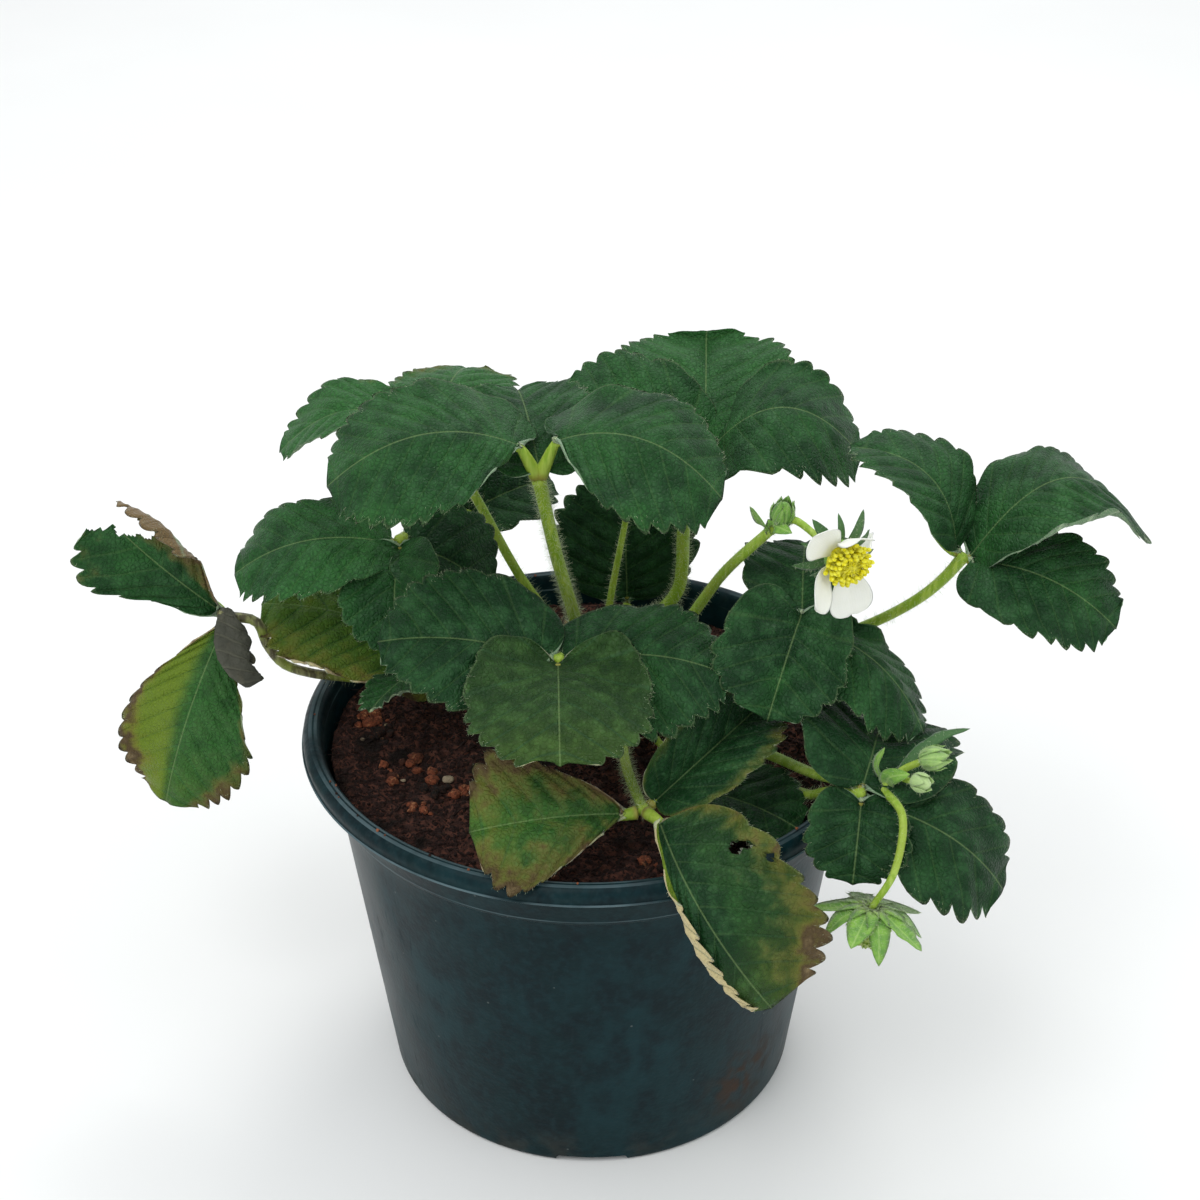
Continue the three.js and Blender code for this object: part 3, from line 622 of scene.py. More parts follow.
    def lathe(self, profile, centre, axis, sides, slot=0, life=(0, 0, 0), wobble=0.0, seed=0, hair=0.0):
        """A closed shape turned round an axis. profile is (radius, depth) pairs from pole to pole."""
        out, right, up = axes_round(axis)
        centre = np.array(centre, float)
        angles = 2 * math.pi * np.arange(sides) / sides
        ways = np.outer(np.cos(angles), right) + np.outer(np.sin(angles), up)
        rows = []
        for k, (radius, depth) in enumerate(profile[1:-1]):
            bump = 1 + wobble * ripple(6 * np.cos(angles) + 0.9 * k, 6 * np.sin(angles) + 0.6 * k, seed, 5)
            rows.append(centre + out * depth + radius * bump[:, None] * ways)
        n = len(rows)
        ends = [centre + out * profile[0][1], centre + out * profile[-1][1]]
        faces = shell_faces(n, sides)
        points = np.vstack(rows + [ends])
        deep = (points - centre) @ out
        run = (deep - deep.min()) / np.ptp(deep)
        lean = np.vstack([np.tile(ways, (n, 1)), [-out, out]]) + 0.3 * out
        self.add(points, faces if profile[-1][1] > profile[0][1] else [f[::-1] for f in faces], slot,
                 blade=np.stack([run, run * 0 + 9, run * 0], 1), life=life, lean=lean, hair=hair)

    def to_object(self, name, finishes, slot=None, replaces=(), smooth=True):
        """The mesh as an object at the origin. With a slot it is a piece of the plant: it rides on the root
        and stands for the parts it replaces.
        """
        mesh = bpy.data.meshes.new(name)
        mesh.from_pydata((np.vstack(self.points) * MM).tolist(), [], self.faces)
        for key, kept in self.marks.items():
            kind = "FLOAT" if key == "hair" else "FLOAT_VECTOR"
            layer = mesh.attributes.new(key, kind, "POINT")
            layer.data.foreach_set("value" if key == "hair" else "vector",
                                   np.vstack(kept).astype(np.float32).ravel())
        for finish in finishes:
            mesh.materials.append(finish_of(finish))
        mesh.polygons.foreach_set("material_index", self.slots)
        mesh.polygons.foreach_set("use_smooth", [smooth] * len(self.faces))
        mesh.update()
        made = bpy.data.objects.new(name, mesh)
        bpy.context.scene.collection.objects.link(made)
        return settle(made, replaces) if slot else made


def settle(piece, replaces=()):
    """Says what a piece rides on and stands for."""
    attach(piece, "root")
    if replaces:
        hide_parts(*replaces)
    return piece


def scatter_tree():
    """The node tree that stands small shapes on a surface: hairs, crumbs, pistils and achenes.

    Its inputs are the surface, the shape, how many there are on a square metre, their smallest and largest
    scale, how far they lean at random, how far they sink, a seed and their finish. Each is turned at random
    about its own line. The surface's own attributes say where they are thick and which way they lean.
    """
    if "Scatter shapes" in bpy.data.node_groups:
        return bpy.data.node_groups["Scatter shapes"]
    tree = bpy.data.node_groups.new("Scatter shapes", "GeometryNodeTree")
    n = functools.partial(add_node, tree)
    for name, kind in (("Surface", "Geometry"), ("Shape", "Object"), ("Density", "Float"),
                       ("Smallest", "Vector"), ("Largest", "Vector"), ("Spread", "Float"), ("Sink", "Float"),
                       ("Seed", "Int"), ("Finish", "Material")):
        tree.interface.new_socket(name, in_out="INPUT", socket_type="NodeSocket" + kind)
    tree.interface.new_socket("Mesh", in_out="OUTPUT", socket_type="NodeSocketGeometry")
    (surface, shape, density, smallest, largest, spread, sink, seed, material) = n(
        "NodeGroupInput", out=None).outputs[:9]
    thick = n("GeometryNodeInputNamedAttribute", {"Name": "hair"}, data_type="FLOAT")
    lean = n("GeometryNodeInputNamedAttribute", {"Name": "lean"}, data_type="FLOAT_VECTOR")
    number = n("ShaderNodeMath", {0: density, 1: thick}, operation="MULTIPLY")
    spots = n("GeometryNodeDistributePointsOnFaces", {"Mesh": surface, "Density": number, "Seed": seed},
              distribute_method="RANDOM")
    jitter = n("FunctionNodeRandomValue", {0: (-1, -1, -1), 1: (1, 1, 1), "Seed": seed},
               data_type="FLOAT_VECTOR")
    jitter = n("ShaderNodeVectorMath", {0: jitter, "Scale": spread}, operation="SCALE")
    way = n("ShaderNodeVectorMath", {0: lean, 1: jitter}, operation="ADD")
    turned = n("FunctionNodeAlignRotationToVector", {"Vector": way}, axis="Z")
    shape = n("GeometryNodeObjectInfo", {"Object": shape}, out="Geometry")
    number = n("ShaderNodeMath", {0: seed, 1: 7.0}, operation="ADD")
    size = n("FunctionNodeRandomValue", {0: smallest, 1: largest, "Seed": number}, data_type="FLOAT_VECTOR")
    stood = n("GeometryNodeInstanceOnPoints", {"Points": spots, "Instance": shape, "Rotation": turned,
                                               "Scale": size})
    roll = n("FunctionNodeRandomValue", {2: -3.1416, 3: 3.1416, "Seed": 3}, data_type="FLOAT", out=1)
    roll = n("ShaderNodeCombineXYZ", {2: roll})
    stood = n("GeometryNodeRotateInstances", {"Instances": stood, "Rotation": roll})
    down = n("ShaderNodeCombineXYZ", {2: sink})
    stood = n("GeometryNodeTranslateInstances", {"Instances": stood, "Translation": down})
    shade = n("FunctionNodeRandomValue", {0: (0, 0, 0), 1: (1, 1, 1), "Seed": 11}, data_type="FLOAT_VECTOR")
    stood = n("GeometryNodeStoreNamedAttribute", {"Geometry": stood, "Name": "life", "Value": shade},
              data_type="FLOAT_VECTOR", domain="INSTANCE")
    solid = n("GeometryNodeRealizeInstances", {"Geometry": stood})
    solid = n("GeometryNodeSetMaterial", {"Geometry": solid, "Material": material})
    n("NodeGroupOutput", {"Mesh": solid}, out=None)
    return tree


def joined(skins):
    """Several skins as one."""
    whole = Skin()
    for skin in skins:
        whole.faces += [[whole.count + i for i in face] for face in skin.faces]
        whole.points += skin.points
        whole.slots += skin.slots
        whole.count += skin.count
        for name, kept in whole.marks.items():
            kept += skin.marks[name]
    return whole


def scattered(name, skins, shape, density, smallest, largest, spread, finish, sink=0.0, seed=1):
    """A piece made of small shapes standing on the given skins. density is for a square millimetre, sink is
    how far they stand in, and shape is an unfinished object of a few faces, which is used up."""
    carrier = joined(skins).to_object(name + "_carrier", [])
    modifier = carrier.modifiers.new("Scatter", "NODES")
    modifier.node_group = scatter_tree()
    values = {"Shape": shape, "Density": density / MM ** 2, "Smallest": smallest, "Largest": largest,
              "Spread": spread, "Sink": -sink * MM, "Seed": seed, "Finish": finish_of(finish)}
    for item in modifier.node_group.interface.items_tree:
        if item.name in values and item.in_out == "INPUT":
            modifier[item.identifier] = values[item.name]
    graph = bpy.context.evaluated_depsgraph_get()
    made = bpy.data.meshes.new_from_object(carrier.evaluated_get(graph))
    bpy.data.objects.remove(carrier)
    bpy.data.objects.remove(shape)
    made.name = name
    if not len(made.polygons):
        raise RuntimeError(name + ": nothing was scattered")
    piece = bpy.data.objects.new(name, made)
    bpy.context.scene.collection.objects.link(piece)
    return settle(piece)


def downy(name, skins, length, density, seed, thin=1.0, shortest=0.4, spread=0.5):
    """Hairs on skins. Each is a three-sided spike, bowed a little, from shortest to 1 times length."""
    hair = Skin()
    path = [(0, 0, 0), (0, 0.02 * length, 0.5 * length), (0, 0.10 * length, length)]
    thickness = settings("hair").thickness / MM * thin
    hair.tube(path, [thickness / 2, thickness / 3, thickness / 8], sides=3)
    return scattered("hairs_" + name, skins, hair.to_object("hair", ["down"]), density, (1, 1, shortest),
                     (1, 1, 1.0), spread, "down", seed=seed)


# ---------------------------------------------------------------- reading the construction model

STALK_CORNERS = 8  # of a cross-section of a leaf stalk's solid
BLADE_CORNERS = 10  # of a cross-section of a leaflet's solid
HALF_READ = 0.979  # of a leaflet's full half width, where its solid's half width is read


def merged(node):
    """A CAD node's corners in mm with its doubles merged, and the neighbours of each."""
    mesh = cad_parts[node].data
    loose = np.zeros(len(mesh.vertices) * 3, np.float32)
    mesh.vertices.foreach_get("co", loose)
    points, index = np.unique(np.round(loose.reshape(-1, 3) / MM, 2), axis=0, return_inverse=True)
    index = index.ravel()
    links = [set() for _ in points]
    for edge in mesh.edges:
        a, b = (int(index[v]) for v in edge.vertices)
        links[a].add(b)
        links[b].add(a)
    return points, links


def sections(node, near, size):
    """The cross-sections of a CAD node, each its corners, from the end that is nearest to a point."""
    points, links = merged(node)
    ring = set(np.argsort(np.linalg.norm(points - near, axis=1))[:size].tolist())
    done, found = set(), []
    while len(ring) == size:
        found.append(points[sorted(ring)])
        done |= ring
        ring = {k for p in ring for k in links[p]} - done
    if len(done) != len(points):
        raise RuntimeError(f"{node}: {len(done)} of {len(points)} corners lie in sections of {size}")
    return found


def middle_of(node):
    """The middle of a node's box."""
    low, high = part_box(node)
    return (np.array(low) + np.array(high)) / 2 / MM


def stalk_line(node):
    """The centre line of a leaf stalk from the crown to its head, and its radius there."""
    rings = sections(node, middle_of("crown"), STALK_CORNERS)
    line = np.array([ring.mean(axis=0) for ring in rings])
    return line, float(np.linalg.norm(rings[-2] - line[-2], axis=1).mean())


def blade_frame(node, near):
    """Where a CAD blade lies: its foot, start and tip, the way it faces, its arch and its two half widths."""
    rings = sections(node, near, BLADE_CORNERS)
    wide = rings[len(rings) // 2]
    gaps = np.linalg.norm(wide[:, None] - wide[None], axis=2) + 99 * np.eye(BLADE_CORNERS)
    a, b = np.unravel_index(np.argmin(gaps), gaps.shape)
    up = unit(wide[b] - wide[a])
    up = up if up[2] > 0 else -up
    along = unit(rings[-1].mean(axis=0) - rings[1].mean(axis=0))
    across = unit(np.cross(along, up))
    lines = []
    for ring in rings:
        ordered = ring[np.argsort(ring @ across)]
        lines.append((ordered[0::2] + ordered[1::2]) / 2)
    start, tip, half = lines[1][2], lines[-1][2], lines[len(rings) // 2]
    up = unit(up - unit(tip - start) * up.dot(unit(tip - start)))
    return {"foot": lines[0][2], "start": start, "tip": tip, "up": up,
            "arch": float((half[2] - (start + tip) / 2) @ up),
            "sides": {-1: half[0] - half[2], 1: half[4] - half[2]}}


# ---------------------------------------------------------------- sizes and colours a user would change

class PotSettings(bpy.types.PropertyGroup):
    sides: IntProperty(name="Sides", description="Faces round the pot", default=176, min=24)
    wall: FloatProperty(
        name="Wall", description="Thickness of the moulded wall", default=1.7 * MM, unit="LENGTH")
    colour: FloatVectorProperty(
        name="Plastic", description="Colour of the pot", subtype="COLOR", size=4, default=linear("#041f22"))
    roughness: FloatProperty(
        name="Roughness", description="How dull the plastic is", default=0.34, subtype="FACTOR", min=0,
        max=1)


class MixSettings(bpy.types.PropertyGroup):
    crumbs: FloatProperty(
        name="Crumbs", description="Crumbs on a square millimetre of potting mix", default=0.34)
    grain: FloatProperty(
        name="Grain", description="Width of a middling crumb", default=1.5 * MM, unit="LENGTH")
    colour: FloatVectorProperty(
        name="Potting mix", description="Its middle colour", subtype="COLOR", size=4,
        default=linear("#3a2520"))


class LeafSettings(bpy.types.PropertyGroup):
    tooth: FloatProperty(
        name="Tooth", description="Depth of a tooth on the margin", default=2.3 * MM, unit="LENGTH")
    tooth_spacing: FloatProperty(
        name="Tooth spacing", default=4.7 * MM, unit="LENGTH",
        description="From one tooth to the next along a leaflet")
    quilting: FloatProperty(
        name="Quilting", description="How far a leaflet swells between its veins", default=0.75 * MM,
        unit="LENGTH")
    thickness: FloatProperty(
        name="Thickness", description="Thickness of a leaflet", default=0.4 * MM, unit="LENGTH")
    dark: FloatVectorProperty(
        name="Dark green", description="Upper side where it is darkest", subtype="COLOR", size=4,
        default=linear("#0f3416"))
    light: FloatVectorProperty(
        name="Light green", description="Upper side where it is palest", subtype="COLOR", size=4,
        default=linear("#2d622a"))
    under: FloatVectorProperty(
        name="Under side", description="Colour of the under side", subtype="COLOR", size=4,
        default=linear("#7b9473"))
    stalk: FloatVectorProperty(
        name="Stalk", description="Colour of a leaf stalk", subtype="COLOR", size=4,
        default=linear("#7f9f2a"))


class HairSettings(bpy.types.PropertyGroup):
    stalk: FloatProperty(
        name="Stalk hair", description="Longest hair on a stalk", default=2.3 * MM, unit="LENGTH")
    margin: FloatProperty(
        name="Margin hair", description="Longest hair on a leaflet's margin", default=1.0 * MM,
        unit="LENGTH")
    thickness: FloatProperty(
        name="Thickness", description="Thickness of a hair at its foot", default=0.065 * MM, unit="LENGTH")


class FlowerSettings(bpy.types.PropertyGroup):
    stamens: IntProperty(name="Stamens", description="Stamens round the flower's centre", default=72)
    pistils: FloatProperty(
        name="Pistils", description="Pistils on a square millimetre of the dome", default=3.0)
    petal: FloatVectorProperty(
        name="Petal", description="Colour of the petals", subtype="COLOR", size=4,
        default=linear("#f7f7ec"))
    yellow: FloatVectorProperty(
        name="Stamen", description="Colour of the stamens", subtype="COLOR", size=4,
        default=linear("#e2d413"))


class StageSettings(bpy.types.PropertyGroup):
    floor: FloatVectorProperty(
        name="Floor", description="Colour of the floor", subtype="COLOR", size=4, default=linear("#f3f2ef"))
    lens: FloatProperty(name="Lens", description="Focal length in mm on a sensor 36 mm wide", default=66.75)
    distance: FloatProperty(
        name="Distance", description="From the camera to the middle of the plant", default=600 * MM,
        unit="LENGTH")
    elevation: FloatProperty(
        name="Elevation", description="How far the camera looks down", default=math.radians(31.35),
        subtype="ANGLE")


def settings(kind):
    return getattr(bpy.context.scene, "strawberry_" + kind)


# ---------------------------------------------------------------- leaves

TOOTH_TIP = 0.62  # where a tooth's tip is between two notches
VEIN_SLANT = 1.6  # how strongly the side veins slant forward
BARE = 0.12  # how much of the way from the head to the blade has no blade on it
TOOTH_STEPS = 8  # rows of corners along one tooth
OLD_LEAVES = ("far_left", "low_left", "low_front")  # they yellow and dry from their margins


def outline(e, widest, full):
    """Half width of a leaflet as a share of its widest. full is how fast it widens from its foot."""
    rise = 1 - (1 - np.clip(e / widest, 0, 1)) ** full
    fall = (1 - np.clip((e - widest) / (1.03 - widest), 0, 1) ** 2.2) ** 0.62
    return np.maximum(np.where(e < widest, rise, fall), 0.03)


def curled(distance, start, radius, most):
    """What lies beyond start is rolled up at that radius, by no more than an angle: (along, up)."""
    beyond = np.maximum(distance - start, 0)
    turn = np.minimum(beyond / radius, most)
    rest = beyond - turn * radius
    along = np.minimum(distance, start) + radius * np.sin(turn) + rest * np.cos(turn)
    return along, radius * (1 - np.cos(turn)) + rest * np.sin(turn)


def sided(value, side):
    """A value for both sides of a leaf, or a pair of values, as each corner takes it by its side."""
    first, second = np.broadcast_to(value, 2)
    return np.where(side < 0, first, second)


def life_over(look, side, share, t):
    """How yellow, scorched and pale each corner of a leaf is, by what its look holds."""
    life = np.zeros((*t.shape, 3)) + np.array(look.get("life", (0.0, 0.0, look.get("tone", 0.0))))
    for key, weight in (("life_left", (side < 0) * ease(0, 0.4, share)),
                        ("life_right", (side > 0) * ease(0, 0.4, share)),
                        ("life_tip", ease(0.55, 0.95, t)),
                        ("life_edge", ease(0.6, 1.0, share)),
                        ("life_rim", (side == look.get("rim", 1)) * ease(0.64, 0.74, share))):
        if key in look:
            life = life + np.broadcast_to(weight, t.shape)[..., None] * np.array(look[key])
    return life


def leaf_blade(skin, place, look, seed):
    """A toothed, quilted leaflet in a place read from the construction model.

    A leaf's two sides are -1 and 1, and t runs from 0 at its foot to 1 at its tip. look may hold:
    life, how yellow, scorched and pale it is, or tone for the last alone, with life_left (side -1),
    life_right, life_tip, life_edge and life_rim to add there;
    rolls, a list of (side, share of the half width it starts at, radius in mm, degrees, first t, last t);
    curl, (from t, radius, degrees) for its tip; holes, a list of (t, mm to side 1, radius in mm);
    lobe, how far its foot runs back past its stem, lift, how far those lobes stand up, and sink, how far
    its half lies down, each one number or one for each side;
    rim, the side that life_rim and slim are for, and slim, how much narrower its foot is on that side;
    widest and full for its outline; coarse and round for its teeth; wide, its width over its solid's;
    bare, how much of the way to the blade is stem, and stem, that stem's radius; and
    cup, droop, wave and quilt for its relief.
    """
    leaf = settings("leaf")
    bare = look.get("bare", BARE)
    start = place["foot"] * (1 - bare) + place["start"] * bare
    tip, up = place["tip"], place["up"]
    length = np.linalg.norm(tip - start)
    along = (tip - start) / length
    up = unit(up - along * up.dot(along))
    coarse, blunt = look.get("coarse", 1.0), look.get("round", 0.25)
    teeth = max(6, round(length / (leaf.tooth_spacing / MM * coarse)))
    a = np.linspace(0, 1, TOOTH_STEPS * teeth + 1)[:, None]
    shares = np.array([0, .04, .11, .20, .30, .40, .50, .60, .70, .80, .88, .945, 1.0])
    if "holes" in look:
        shares = np.linspace(0, 1, 31)
    b = np.concatenate([-shares[:0:-1], shares])[None]
    side = np.where(b < 0, -1.0, 1.0)
    share = np.abs(b)
    e = 0.985 * (1 - (1 - a) ** VEIN_SLANT)
    m = 1.02 * a ** 1.75
    wide = look.get("wide", 1.0)
    half = {s: np.linalg.norm(way) / HALF_READ * wide for s, way in place["sides"].items()}
    reach = np.where(side < 0, half[-1], half[1])
    reach = reach * (1 - look.get("slim", 0.0) * (side == look.get("rim", 1)) * (1 - a) ** 1.5)
    shape = outline(e, look.get("widest", 0.56), look.get("full", 2.5))
    near = np.clip(a / 0.4, 0, 1)
    lobe = 6.75 * near * (1 - near) ** 2
    e = e - sided(look.get("lobe", 0.20), side) * lobe
    x = share * reach * shape
    y = length * (m + (e - m) * share ** 1.1)

    # Teeth: the margin is pushed out along the side veins, which end at their tips.
    f = (a * teeth) % 1.0
    tooth = np.where(f < TOOTH_TIP, np.sin(f / TOOTH_TIP * math.pi / 2) ** 0.95,
                     np.clip((1 - f) / (1 - TOOTH_TIP), 0, 1) ** 0.75)
    tooth = (1 - blunt) * tooth + blunt * (1 - np.abs(2 * f - 1) ** 2.6)
    rng = np.random.default_rng(seed)
    bite = rng.uniform(0.7, 1.25, (teeth + 1, 2))
    which = np.minimum((a * teeth).astype(int), teeth)
    bite = np.where(side < 0, bite[which[:, 0], 0][:, None], bite[which[:, 0], 1][:, None])
    depth = leaf.tooth / MM * coarse * min(1.0, length / 38) * bite * ease(0.06, 0.30, e) * (tooth - 0.42)
    out_x, out_y = reach * shape, length * (e - m)
    size = np.maximum(np.hypot(out_x, out_y), 1e-6)
    push = depth * share ** 7
    x = x + push * out_x / size
    y = y + push * out_y / size

    # Relief: tissue swells between the sunken veins, and the blade ripples and waves at its margin.
    g = (a * teeth - TOOTH_TIP) % 1.0
    spacing = np.gradient(e + m, axis=0) * TOOTH_STEPS * length / 2
    quilt = leaf.quilting / MM * look.get("quilt", 1.0) * np.clip(spacing / 4.5, 0.15, 1.1)
    z = quilt * (np.sin(math.pi * g) ** 0.75 - 0.55) * ease(0.02, 0.22, share) * (1 - 0.45 * share ** 3)
    z = z - 0.7 * np.exp(-(x / 1.3) ** 2) * ease(0, 0.1, a)
    flat_x = x * side
    z = z + 0.75 * ripple(flat_x, y, seed + 50, 26) * ease(0, 0.3, share)
    z = z + look.get("wave", 1.0) * ripple(flat_x, y, seed + 90, 15) * share ** 2.5
    z = z + look.get("cup", 0.0) * share ** 2 * shape - look.get("droop", 1.5) * (y / length) ** 3
    z = z + sided(look.get("lift", 0.8), side) * lobe * share ** 1.5
    z = z - sided(look.get("sink", 0.0), side) * share ** 1.2 * ease(0, 0.15, a) * ease(0.75, 0.35, a)

    # Holes: corners near a hole's edge are drawn on to it and the panes inside are left out.
    holes = np.zeros((len(a) - 1, b.shape[1] - 1), bool)
    for t, across, radius in look.get("holes", ()):
        dx, dy = flat_x - across, y - t * length
        far = np.maximum(np.hypot(dx, dy), 1e-6)
        rim = radius * (1 + 0.25 * ripple(dx, dy, seed + 7, radius * 1.6))
        draw = np.where((np.abs(far - rim) < 0.42) & (side * across > 0), rim / far, 1.0)
        x = np.where(share > 0, np.abs(across + dx * draw), x)
        y = np.where(share > 0, t * length + dy * draw, y)
        inside = (far < rim + 0.1).astype(int)
        holes |= (inside[:-1, :-1] + inside[1:, :-1] + inside[:-1, 1:] + inside[1:, 1:]) > 2

    # Margins and a tip that have rolled over.
    rolled = np.zeros(x.shape)
    for where, begin, radius, turn, first, last in look.get("rolls", ()):
        strength = ease(first - 0.12, first + 0.12, y / length) * ease(last + 0.12, last - 0.12, y / length)
        on = (side == where) & (strength > 0.02)
        radius_here = radius / np.maximum(strength, 0.02)
        new_x, lift = curled(x, begin * reach * shape, radius_here, math.radians(turn))
        x = np.where(on, new_x, x)
        rolled = rolled + np.where(on, lift, 0)
    if "curl" in look:
        begin, radius, turn = look["curl"]
        y, lift = curled(y, begin * length, abs(radius), math.radians(turn))
        z = z + math.copysign(1, radius) * lift

    t = np.clip(y / length, -0.1, 1.05)
    ways = np.where(side[..., None] < 0, unit(place["sides"][-1]), unit(place["sides"][1]))
    grid = (start + along * y[..., None] + ways * x[..., None]
            + up * (z + place["arch"] * 4 * t * (1 - t))[..., None])
    square = {s: unit(up - unit(way) * up.dot(unit(way))) for s, way in place["sides"].items()}
    grid = grid + np.where(side[..., None] < 0, square[-1], square[1]) * rolled[..., None]

    ridge = 0.8 * np.exp(-(x / 1.1) ** 2) * (1 - 0.75 * a) + 0.25 * np.exp(-((g - 0.5) ** 2) / 0.01)
    mark = np.stack(np.broadcast_arrays(a * teeth - TOOTH_TIP, x, share), axis=-1)
    lean = unit(along) * 0.5 + ways * np.ones(x.shape)[..., None]
    margin = np.broadcast_to(ease(0.93, 0.96, share) * ease(0.05, 0.25, e), x.shape)
    skin.sheet(grid, up, leaf.thickness / MM + ridge, (0, 1), holes, blade=mark,
               life=life_over(look, side, share, t), lean=lean, hair=margin)


def leaflet(node, head, look, seed, slot):
    """One leaflet with its short stem, standing for its CAD node."""
    place = blade_frame(node, head)
    skin = Skin()
    leaf_blade(skin, place, look, seed)
    along, up = unit(place["tip"] - place["start"]), place["up"]
    bare = look.get("bare", BARE)
    begin = place["foot"] * (1 - bare) + place["start"] * bare
    skin.stem([place["foot"] - up * 0.5, begin - up * 1.5, begin - up * 2.3 + along * 3,
               begin - up * 2.3 + along * 7], 10, look.get("stem", 1.3), 0.6, slot=2, hair=0.0)
    finishes = ["dry", "dry", "dark stalk"] if slot == "dry_leaf" else ["upper", "under", "stalk"]
    skin.to_object(node, finishes, slot, [node])
    return skin


